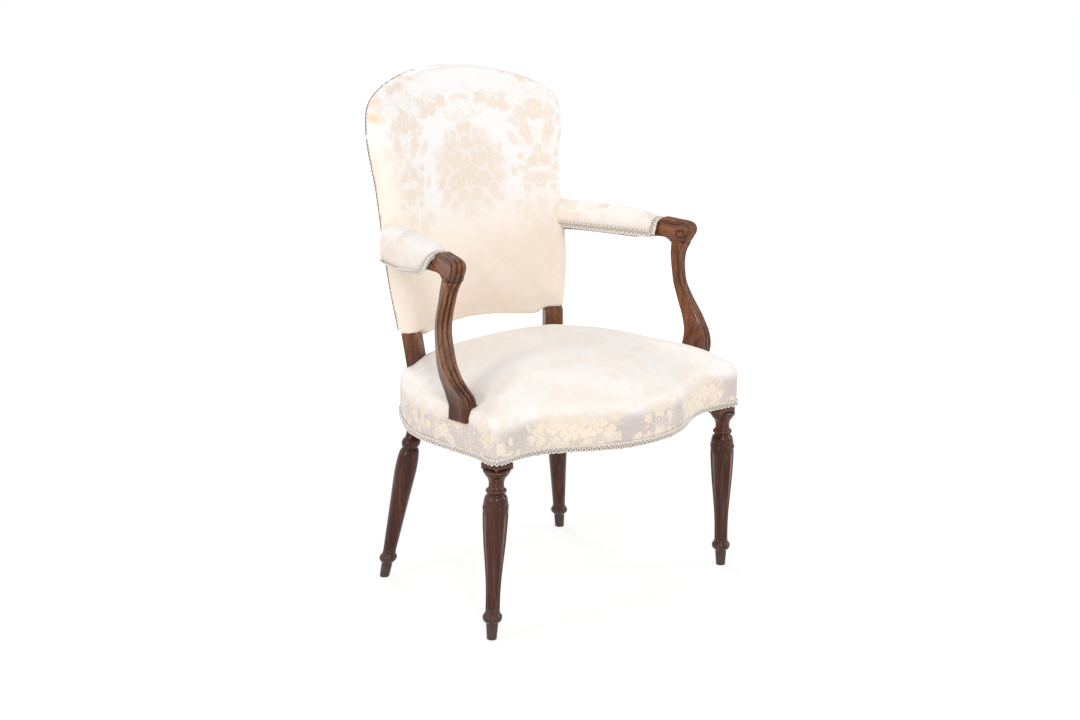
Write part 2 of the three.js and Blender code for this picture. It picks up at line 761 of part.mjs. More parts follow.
// The support: a cyma-curved post from the knuckle down to the side rail.
// Each row: height share from foot to joint, x and y as shares of the reach
// from the foot to the joint, then width, depth and turn as shares
const supportFoot = new THREE.Vector3(seatHalfWidth - supportFootEdge, supportFootY, footBottom);
const supportBulge = 15;
const supportSetback = 46;
const supportWidth = 24;
const supportDepth = 47;
const supportShares = [
  [0, 0, 0, 1, 1, 0], [0.1, 0, -0.03, 1, 1.02, 0], [0.135, 0.1, -0.05, 1.05, 1.16, 0.08],
  [0.19, 0.3, -0.02, 1.12, 1.14, 0.2], [0.255, 0.73, 0.14, 1.16, 0.9, 0.35],
  [0.335, 0.98, 0.35, 1.16, 0.7, 0.5], [0.42, 0.97, 0.56, 1.1, 0.58, 0.65],
  [0.505, 0.73, 0.74, 1.04, 0.5, 0.75], [0.59, 0.47, 0.87, 1, 0.44, 0.85],
  [0.67, 0.2, 0.97, 0.98, 0.41, 0.95], [0.755, -0.03, 0.99, 0.98, 0.4, 1],
  [0.84, -0.29, 0.94, 1, 0.43, 1], [0.92, -0.4, 0.82, 1.04, 0.52, 1], [1, -0.47, 0.62, 1.12, 0.72, 1],
];

function supportShaft(grow) {
  const rise = armJointHeight - fit - footBottom;
  const knuckle = armPoint(armLength - knuckleTenonSetback, 0, armJointHeight);
  const [, topX, topY] = supportShares.at(-1);
  const shiftX = knuckle.x - supportFoot.x - topX * supportBulge;
  const shiftY = knuckle.y - supportFoot.y - topY * supportSetback;
  const centres = supportShares.map(([h, x, y]) => new THREE.Vector3(
    supportFoot.x + x * supportBulge + h * shiftX,
    supportFoot.y + y * supportSetback + h * shiftY,
    footBottom + h * rise));
  const sizes = supportShares.map(([, , , w, d, turn]) => new THREE.Vector3(
    w * supportWidth, d * supportDepth, turn * armYaw));
  const centreLine = new THREE.CatmullRomCurve3(centres);
  const sizeLine = new THREE.CatmullRomCurve3(sizes);
  const reeds = 3;
  const steps = supportShares.length - 1;
  return sweep(unitReededSquare(0.2, reeds, 0.08), steps, 2, (u, v, t) => {
    const centre = centreLine.getPoint(t);
    const size = sizeLine.getPoint(t);
    const across = u * (size.x + 2 * grow);
    const along = v * (size.y + 2 * grow);
    return new THREE.Vector3(
      centre.x + across * Math.cos(size.z) + along * Math.sin(size.z),
      centre.y - across * Math.sin(size.z) + along * Math.cos(size.z),
      centre.z - grow * (1 - 2 * t));
  });
}

function knuckleTenon(clearance) {
  const reach = armLength - knuckleTenonSetback;
  const half = knuckleTenonSide / 2 + clearance;
  const box = new THREE.BoxGeometry(2 * half, 2 * half, knuckleTenonDepth + overrun + clearance);
  const z = armJointHeight + (knuckleTenonDepth - overrun + clearance) / 2;
  return solidOf(reshape(box, (v) => armPoint(reach + v.x, v.y, z + v.z)));
}

function footTenon(clearance) {
  const x0 = supportFoot.x - supportWidth / 2;
  const halfY = supportTenonWidth / 2 + clearance;
  return block(x0 - clearance, x0 + supportTenonThickness + clearance,
    supportFoot.y - halfY, supportFoot.y + halfY,
    footBottom - supportTenonDepth - clearance, footBottom + overrun);
}

function supportScrew(clearance) {
  const y = supportFoot.y;
  const z = footBottom - supportScrewDrop;
  const inner = inset(seatOutline, skin + railThickness);
  const near = inner.filter((p) => p.x > 0 && p.y > 0).reduce((best, p) => (
    Math.abs(p.y - y) < Math.abs(best.y - y) ? p : best));
  const from = new THREE.Vector3(near.x + overrun, y, z);
  return screwAlong(from, new THREE.Vector3(farSide, y, z), supportScrewLength, clearance);
}

function armScrew(clearance) {
  const from = armPoint(-armScrewSetback, 0, armScrewHeight);
  return screwAlong(from, armPoint(0, 0, armScrewHeight), armScrewLength, clearance);
}

// Assembly

const chair = new THREE.Group();
const materials = Object.fromEntries(Object.entries(finish).map(([slot, look]) => (
  [slot, new THREE.MeshStandardMaterial(look)])));

function add(name, solid, slot) {
  const mesh = new THREE.Mesh(geometryOf(solid), materials[slot].clone());
  mesh.name = name;
  chair.add(mesh);
}

// A right-hand solid and its mirror image, each cut by tools that span the chair
function addPair(name, solid, slot, ...tools) {
  add(`${name}_right`, cutBy(solid, ...tools), slot);
  add(`${name}_left`, cutBy(mirrored(solid), ...tools), slot);
}

function bothSides(solid) {
  return [solid, mirrored(solid)];
}

// Legs and posts

const frontLeg = cutBy(joined(frontLegTurning(), frontBlock(0)),
  railTenonToFrontLeg(fit), sideTenonToFrontLeg(fit), frontCornerScrew(fit));
addPair('front_leg', frontLeg, 'mahogany');

const stileRoom = block(stileInner, farSide, 0, farSide, backBottom, crestJoint - fit);
const backBody = backForm(-fit, -fit, backThickness + fit, backCrown);
const lowerPost = joined(backLegTurning(), postBlock(0), stileShank(0));
const postHoles = [sideTenonToPost(fit), rearTenonToPost(fit), sillTenon(fit),
  rearCornerScrew(fit), armScrew(fit)];

function backPost(place) {
  const lower = cutBy(place(lowerPost), backBody);
  const upper = band.intersect(place(stileRoom));
  const whole = joined(lower, place(stileNeck(0)), upper, place(crestTenon(0)));
  return cutBy(whole, ...postHoles.map(place));
}

add('back_post_right', backPost((solid) => solid), 'mahogany');
add('back_post_left', backPost(mirrored), 'mahogany');

// Seat rails

const legGap = frontBlockX - frontBlockSide / 2 - fit;
const sideStart = frontBlockY + frontBlockSide / 2 + fit;
const frontCut = block(-legGap, legGap, -farSide, sideStart - 2 * fit, 0, farTop);
const frontTenons = bothSides(railTenonToFrontLeg(0));
const frontRail = cutBy(joined(railRing.intersect(frontCut), ...frontTenons),
  ...bothSides(frontCornerScrew(fit)));
add('front_seat_rail', frontRail, 'beech');

const sideEnd = postBlockY + postBlockSide / 2;
const sideCut = block(0, farSide, sideStart, sideEnd, 0, farTop);
const rearGap = postBlockX - postBlockSide / 2 - fit;
const footSeat = supportShaft(2 * fit);
const sideBar = cutBy(railRing.intersect(sideCut), postBlock(fit),
  block(0, rearGap + postBlockSide / 2, backFrontY, farSide, 0, farTop));
const sideRail = cutBy(joined(sideBar, sideTenonToFrontLeg(0), sideTenonToPost(0)),
  footSeat, footTenon(fit), supportScrew(fit), frontCornerScrew(fit));
addPair('side_seat_rail', sideRail, 'beech');

const rearCut = block(-rearGap, rearGap, postBlockY - postBlockSide, farSide, 0, farTop);
const rearRail = joined(railRing.intersect(rearCut), ...bothSides(rearTenonToPost(0)));
add('rear_seat_rail', rearRail, 'beech');

// Corner blocks and their screws

const cornerX = frontBlockX + frontBlockSide;
const cornerY = frontBlockY - frontBlockSide;
const wedge = Math.SQRT2 * frontBlockReach + 2 * frontBlockSide;
const frontCorner = cornerBlock(
  [[cornerX, cornerY], [cornerX, cornerY + wedge], [cornerX - wedge, cornerY]],
  frontBlock(fit), frontCornerScrew(fit));
addPair('front_corner_block', frontCorner, 'beech');
addPair('front_corner_screw', frontCornerScrew(0), 'steel');

const rearFace = postBlockY - rearBlockReach;
const rearLeft = postBlockX - rearBlockReach;
const rearCorner = cornerBlock(
  [[rearLeft, farSide], [rearLeft, rearFace + rearBlockReach / 2],
    [postBlockX - postBlockSide / 2, rearFace], [farSide, rearFace], [farSide, farSide]],
  postBlock(fit), rearCornerScrew(fit));
addPair('rear_corner_block', rearCorner, 'beech');
addPair('rear_corner_screw', rearCornerScrew(0), 'steel');

// Back frame

const crestCut = block(-farSide, farSide, -farSide, farSide, crestJoint, farTop);
const crest = cutBy(band.intersect(crestCut), ...bothSides(crestTenon(fit)));
add('crest_rail', crest, 'beech');

const sillCut = block(-stileInner + fit, stileInner - fit, -farSide, farSide, 0, backBottom + backHeight / 2);
const sill = joined(band.intersect(sillCut), ...bothSides(sillTenon(0)));
add('bottom_back_rail', sill, 'beech');

// Arms and supports

const armRoom = armSide(fit);
const armWhole = joined(armSide(0), roundel(1), roundel(-1));
const stileGap = backForm(skin - fit, frameFront - fit, frameRear + fit, 0);
const arm = cutBy(armWhole, knuckleTenon(fit), armScrew(fit));
addPair('arm_rail', arm, 'mahogany', stileGap);
addPair('arm_screw', armScrew(0), 'steel');

const support = cutBy(joined(supportShaft(0), knuckleTenon(0), footTenon(0)), supportScrew(fit));
addPair('arm_support', support, 'mahogany');
addPair('arm_support_screw', supportScrew(0), 'steel');

// Arm pads

const padInside = -(padCoverThickness + fit);
addPair('arm_pad_stuffing', cutBy(padForm(padInside), armRoom), 'horsehair', backBody);
const padSkin = cutBy(padForm(0), padForm(-padCoverThickness), armRoom);
addPair('arm_pad_cover', padSkin, 'silk', backBody);
const armGimp = cutBy(padForm(fit + armGimpThickness).intersect(armGimpStrip()), padForm(fit),
  armRoom);
addPair('arm_gimp', armGimp, 'gimp', backBody);

// Seat upholstery

const uprights = [...bothSides(supportShaft(2 * fit)), ...bothSides(stileShank(fit))];

let level = railTop + fit;
const strapArea = seatSheet(webbingInset, railTop, rollHeight);
for (let i = -1; i <= 1; i += 1) {
  const y = webbingFirstY + (i + 1) * webbingSpacing;
  const strap = block(-farSide, farSide, y - webbingWidth / 2, y + webbingWidth / 2,
    level, level + webbingThickness);
  add(`seat_webbing_across_${i + 2}`, strap.intersect(strapArea), 'webbing');
}
level += webbingThickness + fit;
for (let i = -1; i <= 1; i += 1) {
  const x = i * webbingSpacing;
  const strap = block(x - webbingWidth / 2, x + webbingWidth / 2, -farSide, farSide,
    level, level + webbingThickness);
  add(`seat_webbing_along_${i + 2}`, strap.intersect(strapArea), 'webbing');
}
level += webbingThickness + fit;
add('seat_hessian', cutBy(seatSheet(hessianInset, level, level + hessianThickness), ...uprights),
  'hessian');
level += hessianThickness + fit;
add('seat_stuffing', cutBy(seatForm(skin, level), ...uprights), 'horsehair');
const seatSkin = cutBy(seatForm(0, coverBottom), seatForm(coverThickness, coverBottom - overrun));
add('seat_cover', cutBy(seatSkin, ...uprights), 'silk');
add('seat_gimp', seatRing(-fit - gimpThickness, gimpThickness, coverBottom - fit,
  coverBottom - fit + gimpHeight), 'gimp');
const clothTop = railBottom - fit;
add('bottom_cloth', cutBy(seatSheet(bottomClothInset, clothTop - bottomClothThickness, clothTop),
  ...bothSides(frontBlock(fit)), ...bothSides(postBlock(fit))), 'calico');

// Back upholstery

const arms = bothSides(armRoom);
const backStrapArea = (depth) => backForm(0, depth, depth + webbingThickness, 0, hessianRingShare);
const uprightStraps = backStrapArea(frameFront - fit - webbingThickness);
const acrossStraps = backStrapArea(frameFront - 2 * (fit + webbingThickness));
[-1, 1].forEach((side) => {
  const x = side * backWebbingSpacing / 2;
  const upright = block(x - webbingWidth / 2, x + webbingWidth / 2, 0, farSide, 0, farTop);
  const place = side < 0 ? 'left' : 'right';
  add(`back_webbing_${place}`, uprightStraps.intersect(upright), 'webbing');
});
[-1, 1].forEach((side) => {
  const z = backCentre.y + side * backWebbingSpacing / 2;
  const across = block(-farSide, farSide, 0, farSide, z - webbingWidth / 2, z + webbingWidth / 2);
  const place = side < 0 ? 'lower' : 'upper';
  add(`back_webbing_${place}`, cutBy(acrossStraps.intersect(across), ...arms), 'webbing');
});
add('back_hessian', cutBy(backForm(0, padRear + fit, hessianRear, 0, hessianRingShare), ...arms),
  'hessian');
add('back_stuffing', cutBy(backForm(skin, skin, padRear, backCrown), ...arms), 'horsehair');
const frontSkin = cutBy(backForm(0, 0, frameRear, backCrown),
  backForm(coverThickness, coverThickness, frameRear + overrun, backCrown));
add('back_front_cover', cutBy(frontSkin, ...arms, ...bothSides(stileNeck(fit))), 'silk');
add('back_rear_cover', cutBy(backForm(0, frameRear + fit, backThickness, 0), ...arms), 'silk');

const bounds = new THREE.Box3().setFromObject(chair);
chair.position.y = -(bounds.min.y + bounds.max.y) / 2;
const placed = new THREE.Group();
placed.add(chair);
placed.updateMatrixWorld(true);

export default placed;
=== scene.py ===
# %% [markdown]
# # An open armchair in mahogany and silk
# The chair has a turned and fluted frame, a hooped back that is hollow in plan, padded arms on
# curved supports and a stuffed-over seat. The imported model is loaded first. It fixes where every
# piece stands, and this file dresses it: pieces that show get a finer form and a real finish.

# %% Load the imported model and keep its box
import json
import math
import random

import bmesh
import bpy
import numpy as np
from mathutils import Matrix, Vector

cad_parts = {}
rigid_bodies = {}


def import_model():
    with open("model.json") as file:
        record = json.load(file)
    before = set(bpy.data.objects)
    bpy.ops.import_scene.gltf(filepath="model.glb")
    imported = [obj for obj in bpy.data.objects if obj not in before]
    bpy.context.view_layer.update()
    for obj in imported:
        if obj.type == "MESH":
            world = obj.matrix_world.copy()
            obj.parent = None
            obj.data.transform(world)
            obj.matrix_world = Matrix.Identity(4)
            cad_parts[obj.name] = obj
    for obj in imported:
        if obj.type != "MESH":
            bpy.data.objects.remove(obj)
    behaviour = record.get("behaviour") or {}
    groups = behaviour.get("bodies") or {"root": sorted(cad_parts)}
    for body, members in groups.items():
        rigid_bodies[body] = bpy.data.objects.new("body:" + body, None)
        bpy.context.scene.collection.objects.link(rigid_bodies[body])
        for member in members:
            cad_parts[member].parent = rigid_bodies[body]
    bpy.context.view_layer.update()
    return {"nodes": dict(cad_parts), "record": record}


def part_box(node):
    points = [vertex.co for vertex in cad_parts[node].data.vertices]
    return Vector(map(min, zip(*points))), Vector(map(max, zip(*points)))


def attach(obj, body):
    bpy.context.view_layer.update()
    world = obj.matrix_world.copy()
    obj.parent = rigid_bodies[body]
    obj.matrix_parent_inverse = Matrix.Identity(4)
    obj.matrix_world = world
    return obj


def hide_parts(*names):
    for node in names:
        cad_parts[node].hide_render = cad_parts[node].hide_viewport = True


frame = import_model()
nodes = frame["nodes"]
random.seed(5)

# %% [markdown]
# The camera stands where the photographer stood: to the chair's left, a little over seat
# height, with a long lens. Its place was solved from the chair's own symmetry. Back, right and
# up are the camera's three axes, and the small roll is the lean of the hand-held frame.

# %% Camera
azimuth, elevation, roll = (math.radians(a) for a in (-43.70, 13.64, 0.72))
back_axis = Vector((math.sin(azimuth) * math.cos(elevation),
                    -math.cos(azimuth) * math.cos(elevation), math.sin(elevation)))
right_axis = Vector((0, 0, 1)).cross(back_axis).normalized()
up_axis = back_axis.cross(right_axis)
rolled_right = math.cos(roll) * right_axis + math.sin(roll) * up_axis
rolled_up = math.cos(roll) * up_axis - math.sin(roll) * right_axis

bpy.ops.object.camera_add(location=(-2.654, -2.7734, 1.350))
camera = bpy.context.object
camera.name = "photo_camera"
camera.rotation_euler = Matrix((rolled_right, rolled_up, back_axis)).transposed().to_euler()
sensor_width, focal_pixels, frame_pixels = 36.0, 2120.0, 1080.0
camera.data.sensor_width = sensor_width
camera.data.lens = sensor_width * focal_pixels / frame_pixels
bpy.context.scene.camera = camera
print("lens", round(camera.data.lens, 2))

# %% [markdown]
# Sizes are written in millimetres, as a chair maker would, and turned to metres once. The
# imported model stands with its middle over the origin, so depths shift by the same amount.

# %% Units and small helpers
MM = 0.001
DEPTH_SHIFT = -196.4
sides = {1: "right", -1: "left"}  # the sign of x, as one faces the chair


def place(x, y, z):
    return Vector((x * MM, (y + DEPTH_SHIFT) * MM, z * MM))


def smooth_line(points, count):
    """Points spaced evenly along a smooth curve through the given ones."""
    given = np.array([tuple(p) for p in points], float)
    padded = np.vstack([2 * given[0] - given[1], given, 2 * given[-1] - given[-2]])
    dense = []
    for i in range(len(given) - 1):
        a, b, c, d = padded[i:i + 4]
        for t in np.linspace(0, 1, 24, endpoint=False):
            dense.append(0.5 * (2 * b + (c - a) * t + (2 * a - 5 * b + 4 * c - d) * t ** 2
                                + (3 * b - a - 3 * c + d) * t ** 3))
    dense = np.array(dense + [given[-1]])
    run = np.concatenate([[0], np.cumsum(np.linalg.norm(np.diff(dense, axis=0), axis=1))])
    even = np.linspace(0, run[-1], count)
    return np.stack([np.interp(even, run, dense[:, k]) for k in range(dense.shape[1])], 1)


def between(table, at):
    """Smooth value of a table's columns where its first column is at."""
    rows = np.array(table, float)
    fine = smooth_line(rows, 12 * len(rows))
    order = np.argsort(fine[:, 0], kind="stable")
    return [float(np.interp(at, fine[order, 0], fine[order, k])) for k in range(1, rows.shape[1])]


def ease(low, high, value):
    t = min(max((value - low) / (high - low), 0), 1)
    return t * t * (3 - 2 * t)


def eased(low, high, value):
    """The same for a whole array of values."""
    t = np.clip((value - low) / (high - low), 0, 1)
    return t * t * (3 - 2 * t)


def circle(count, start=0.5):
    """Angles spaced evenly round a circle."""
    return [2 * math.pi * (i + start) / count for i in range(count)]


def mirrored(points, side):
    return [Vector((side * p.x, p.y, p.z)) for p in points]


def mesh_points(obj, kind="co"):
    """All of a mesh's points, or their normals, as one array in metres."""
    points = np.zeros(len(obj.data.vertices) * 3)
    obj.data.vertices.foreach_get(kind, points)
    return points.reshape(-1, 3)


def choose(*objects):
    """Selects these objects alone. The first is the active one."""
    for other in bpy.context.view_layer.objects:
        other.select_set(False)
    for obj in objects:
        obj.select_set(True)
    if objects:
        bpy.context.view_layer.objects.active = objects[0]


def join(*objects):
    """Joins the others to the first object."""
    choose(*objects)
    bpy.ops.object.join()
    return objects[0]


def twin(obj):
    """A copy of an object with a mesh of its own."""
    made = obj.copy()
    made.data = obj.data.copy()
    bpy.context.scene.collection.objects.link(made)
    return made


def finish_with(obj, kind, **settings):
    """Applies a modifier with these settings."""
    modifier = obj.modifiers.new("finish", kind)
    for name, value in settings.items():
        setattr(modifier, name, value)
    bpy.ops.object.modifier_apply(modifier=modifier.name)


# %% [markdown]
# Most wooden parts and every padded one are lofts: a circle is added, then extruded ring after
# ring, and each new ring is set in place. That is the way to model a turning or a curved
# support by hand, and it gives clean rows of faces that catch the light evenly.

# %% Loft
def loft(name, rings):
    """A closed form through rings with the same number of points."""
    choose()
    bpy.ops.mesh.primitive_circle_add(vertices=len(rings[0]), radius=1)
    obj = bpy.context.object
    obj.name = obj.data.name = name
    bpy.ops.object.mode_set(mode="EDIT")
    bpy.ops.mesh.select_all(action="SELECT")
    form = bmesh.from_edit_mesh(obj.data)
    loop = list(form.verts)
    for vertex, point in zip(loop, rings[0]):
        vertex.co = point
    bpy.ops.mesh.edge_face_add()
    bpy.ops.mesh.select_mode(type="EDGE")
    form = bmesh.from_edit_mesh(obj.data)
    loop = list(form.verts)
    for face in form.faces:
        face.select_set(False)
    for edge in form.edges:
        edge.select_set(True)
    for ring in rings[1:]:
        bpy.ops.mesh.extrude_edges_move()
        form = bmesh.from_edit_mesh(obj.data)
        grown = []
        for vertex in loop:
            fresh = [e.other_vert(vertex) for e in vertex.link_edges
                     if e.other_vert(vertex).select and not vertex.select]
            grown.append(fresh[0])
        for vertex, point in zip(grown, ring):
            vertex.co = point
        loop = grown
    bpy.ops.mesh.edge_face_add()
    bpy.ops.mesh.select_mode(type="VERT")
    bpy.ops.mesh.select_all(action="SELECT")
    bpy.ops.mesh.normals_make_consistent(inside=False)
    bpy.ops.object.mode_set(mode="OBJECT")
    bpy.ops.object.shade_smooth()
    return obj


# %% [markdown]
# A front leg is turned on a lathe, then the carver cuts eight flutes with round tops into the
# shaft and sets a small bead over each. Here the lathe is a ring that is pulled up along the
# turner's profile. The flutes are cut ring by ring: the points in a flute's column move inward
# by the arc of the gouge. Above the neck the ring squares off into the block that holds the
# rails.

# %% Front leg
leg_radius, leg_height = 22.4, 307
front_profile = [
    # radius and height as shares of the two sizes above
    [0.36, 0], [0.4, 0.004], [0.41, 0.02], [0.48, 0.088], [0.47, 0.092], [0.5, 0.1], [0.62, 0.106],
    [0.72, 0.114], [0.77, 0.124], [0.78, 0.133], [0.76, 0.142], [0.69, 0.15], [0.6, 0.154],
    [0.6, 0.163], [0.57, 0.17], [0.56, 0.178], [0.56, 0.2], [0.56, 0.235], [0.565, 0.27],
    [0.59, 0.315], [0.625, 0.365], [0.68, 0.412], [0.735, 0.46], [0.79, 0.502], [0.845, 0.545],
    [0.897, 0.595], [0.94, 0.645], [0.975, 0.69], [0.99, 0.715], [1, 0.74], [1, 0.76],
    [0.99, 0.785], [0.97, 0.808], [0.925, 0.83], [0.86, 0.845], [0.78, 0.854], [0.68, 0.859],
    [0.68, 0.865], [0.74, 0.868], [0.8, 0.873], [0.825, 0.88], [0.8, 0.887], [0.72, 0.892],
    [0.62, 0.898], [0.595, 0.912], [0.6, 0.93], [0.66, 0.947], [0.76, 0.96], [0.88, 0.97],
    [0.93, 0.974], [0.93, 0.98], [1.03, 0.986], [1.07, 0.992], [1.07, 1],
]
flute_count, flute_depth, flute_low, flute_high = 8, 2.7, 56, 232
block_side, block_top, leg_splay = 34, 388, 8.9
block_x, block_y, block_inset = 287.2, 3, 3.6


def flute_cut(angle, height):
    """Depth of the gouge at a point of the shaft."""
    share = (angle / (2 * math.pi) * flute_count) % 1 - 0.5
    wide = 0.43 * math.sqrt(max(0, 1 - max(0, (height - flute_high + 9) / 9) ** 2))
    wide *= math.sqrt(max(0, 1 - max(0, (flute_low + 6 - height) / 6) ** 2))
    if wide < 0.02 or abs(share) >= wide:
        return 0
    return flute_depth * math.sqrt(1 - (share / wide) ** 2) * min(1, wide / 0.2)


def squared(angle, half, power):
    """A point of a square ring, where a ray at an angle meets it. More power, sharper corners."""
    c, s = math.cos(angle), math.sin(angle)
    reach = half / (abs(c) ** power + abs(s) ** power) ** (1 / power)
    return reach * c, reach * s


def leg_axis(z):
    """How far out the turned leg's middle stands at a height, as it splays towards the foot."""
    return block_x + block_inset + leg_splay * (1 - z / leg_height)


def front_leg(side):
    angles = circle(128)
    heights = {share * leg_height for _, share in front_profile}
    heights |= {float(z) for z in np.arange(flute_low - 4, flute_high + 5, 2.5)}
    # more rings where the flutes end in round tops
    heights |= {flute_high - under for under in (6.5, 5.5, 4, 3, 1.2, 0.6, 0, -1)}
    profile = sorted((share * leg_height, r * leg_radius) for r, share in front_profile)
    zs, rs = zip(*profile)
    rings = []
    for z in sorted(heights):
        radius = float(np.interp(z, zs, rs))
        cuts = [(a, radius - flute_cut(a, z)) for a in angles]
        rings.append([place(side * (leg_axis(z) + r * math.cos(a)), r * math.sin(a), z)
                      for a, r in cuts])
    # the cap under the seat, then the block inside it: height, half side, sharpness
    for z, half, power in ((leg_height + 0.2, 20, 9), (leg_height + 1, 20.8, 14), (317.4, 20.8, 14),
                           (318.2, 20.2, 14), (318.6, 17, 24), (block_top - 1, 17, 24),
                           (block_top, 16.4, 24)):
        ring = [squared(a, half, power) for a in angles]
        rings.append([place(side * (block_x + x), block_y + y, z) for x, y in ring])
    return loft("turned_front_leg_" + sides[side], rings)


def carved_button(spot, facing):
    """A small flattened bead at a place, facing outwards."""
    choose()
    bpy.ops.mesh.primitive_uv_sphere_add(segments=16, ring_count=10, radius=button_radius * MM)
    button = bpy.context.object
    turn = Vector((0, 0, 1)).rotation_difference(facing).to_matrix().to_4x4()
    button.data.transform(Matrix.Translation(spot) @ turn @ Matrix.Diagonal((1, 1, 0.75, 1)))
    bpy.ops.object.shade_smooth()
    return button


button_height, button_radius, button_reach = 241.5, 3.7, 21.6
front_legs = {side: front_leg(side) for side in sides}
for side, leg in front_legs.items():
    middle = place(side * leg_axis(button_height), 0, button_height)
    facings = [Vector((math.cos(a), math.sin(a), 0)) for a in circle(flute_count)]
    join(leg, *[carved_button(middle + facing * button_reach * MM, facing) for facing in facings])
print("front leg points", len(front_legs[1].data.vertices))

# %% [markdown]
# The back leaves the floor as a raked, turned leg, becomes a square block where the rails meet
# it, and goes on as the stile of the back, all in one piece of wood. The back itself is hollow
# in plan and leans. One function gives a point of it: across, up, and deep from its face.

# %% The back's hollow surface and outline
back_bottom, back_height, back_half, back_foot_half = 458, 487, 226.5, 189.6
back_face_y, back_rake, back_bow = 329, 0.136, 58
cover_gap = 2.3
frame_front, frame_rear = 9.5, 32.5


def back_reach(z):
    rise = (z - back_bottom) / (back_height * 0.702)
    return back_foot_half + (back_half - back_foot_half) * min(rise, 1)


def back_point(x, z, depth):
    reach = back_reach(z)
    slope = -2 * back_bow * x / reach ** 2
    lean = math.hypot(1, slope)
    y = back_face_y + back_rake * (z - back_bottom) + back_bow * (1 - (x / reach) ** 2)
    return place(x - slope / lean * depth, y + depth / lean, z)


side_shares = [
    [0.837, 0.023], [0.87, 0.097], [0.901, 0.19], [0.922, 0.29], [0.93, 0.38], [0.931, 0.47],
    [0.943, 0.575], [0.972, 0.665], [0.996, 0.735], [1, 0.795], [0.985, 0.842], [0.95, 0.877],
    [0.883, 0.906], [0.79, 0.928], [0.66, 0.952], [0.5, 0.973], [0.33, 0.988], [0.16, 0.997],
    [0, 1]]
sill_shares = [[0, 0.018], [0.28, 0.012], [0.5, 0.002], [0.635, 0], [0.672, 0.02], [0.81, 0.0225]]
side_line = [(x * back_half, back_bottom + z * back_height) for x, z in side_shares]
sill_line = [(x * back_half, back_bottom + z * back_height) for x, z in sill_shares]


def outline_half_width(z):
    rising = [(h, x) for x, h in side_line]
    return float(np.interp(z, [h for h, _ in rising], [x for _, x in rising]))


# %% Back post
post_x, post_y, post_side = 181, 343.2, 36
post_radius, post_height, post_spread, post_rake = 20.8, 313, 50, 35
stile_width, stile_core, turn_low, turn_high = 31, 22, 386, 402
post_profile = [
    [0.4, 0], [0.44, 0.004], [0.46, 0.03], [0.5, 0.08], [0.49, 0.086], [0.56, 0.094], [0.66, 0.1],
    [0.76, 0.108], [0.8, 0.118], [0.79, 0.128], [0.72, 0.138], [0.62, 0.143], [0.61, 0.152],
    [0.59, 0.165], [0.605, 0.19], [0.66, 0.25], [0.705, 0.31], [0.75, 0.37], [0.805, 0.435],
    [0.86, 0.5], [0.92, 0.56], [0.97, 0.62], [0.995, 0.655], [1, 0.68], [0.995, 0.71],
    [0.97, 0.74], [0.92, 0.77], [0.86, 0.79], [0.76, 0.802], [0.7, 0.806], [0.7, 0.812],
    [0.78, 0.818], [0.84, 0.828], [0.86, 0.84], [0.84, 0.852], [0.78, 0.86], [0.7, 0.866],
    [0.62, 0.873], [0.6, 0.9], [0.62, 0.93], [0.68, 0.95], [0.75, 0.965], [0.81, 0.978],
    [0.84, 0.985], [0.84, 1],
]


def stile_section(z, angle, grow=0):
    """A point of the stile, which turns from the block's square to the back's hollow surface."""
    u, v = squared(angle, 0.5, 7)
    outer = back_reach(z) - cover_gap
    x = outer - stile_width / 2 + u * (stile_width + 2 * grow)
    deep = frame_rear - 1
    on_back = back_point(x, z, 1 + deep / 2 + v * (deep + 2 * grow))
    in_block = place(post_x + u * (post_side + 2 * grow), post_y + v * (post_side + 2 * grow), z)
    return in_block.lerp(on_back, ease(turn_low, turn_high, z))


def hidden_section(z, angle):
    """The stile goes on inside the upholstery, behind its webbing."""
    u, v = squared(angle, 0.5, 9)
    outer = outline_half_width(z) - cover_gap - 1
    return back_point(outer - 12 + u * stile_core, z,
                      (frame_front + frame_rear) / 2 + v * stile_core)


def back_post(side):
    angles = circle(96)
    rings = []
    for radius_share, height_share in post_profile:
        z, r = height_share * post_height, radius_share * post_radius
        x = post_x + post_spread * (1 - height_share)
        y = post_y + post_rake * (1 - height_share)
        rings.append([place(x + r * math.cos(a), y + r * math.sin(a), z) for a in angles])
    for z, half in ((post_height + 0.5, 17.4), (post_height + 1.5, 18), (385, 18)):
        ring = [squared(a, half, 20) for a in angles]
        rings.append([place(post_x + x, post_y + y, z) for x, y in ring])
    rings += [[stile_section(z, a) for a in angles]
              for z in (388, 391, 394, 397, 400, 405, 412, 420, 430, 440, 450, 460, 466)]
    rings += [[hidden_section(z, a) for a in angles]
              for z in (478, 500, 540, 580, 620, 660, 700, 740, 780, 830)]
    return loft("back_post_with_stile_" + sides[side], [mirrored(ring, side) for ring in rings])


back_posts = {side: back_post(side) for side in sides}
print("back post points", len(back_posts[1].data.vertices))

# %% [markdown]
# An arm is sawn from a plank to its side view, then its top and nose are reeded and a round
# eye is carved on the inner face of the knuckle. The side view is a loop of points. It is
# extruded across the arm, and each new loop is drawn in by the reeds' profile, but only along
# the top and round the nose, where the carver worked.

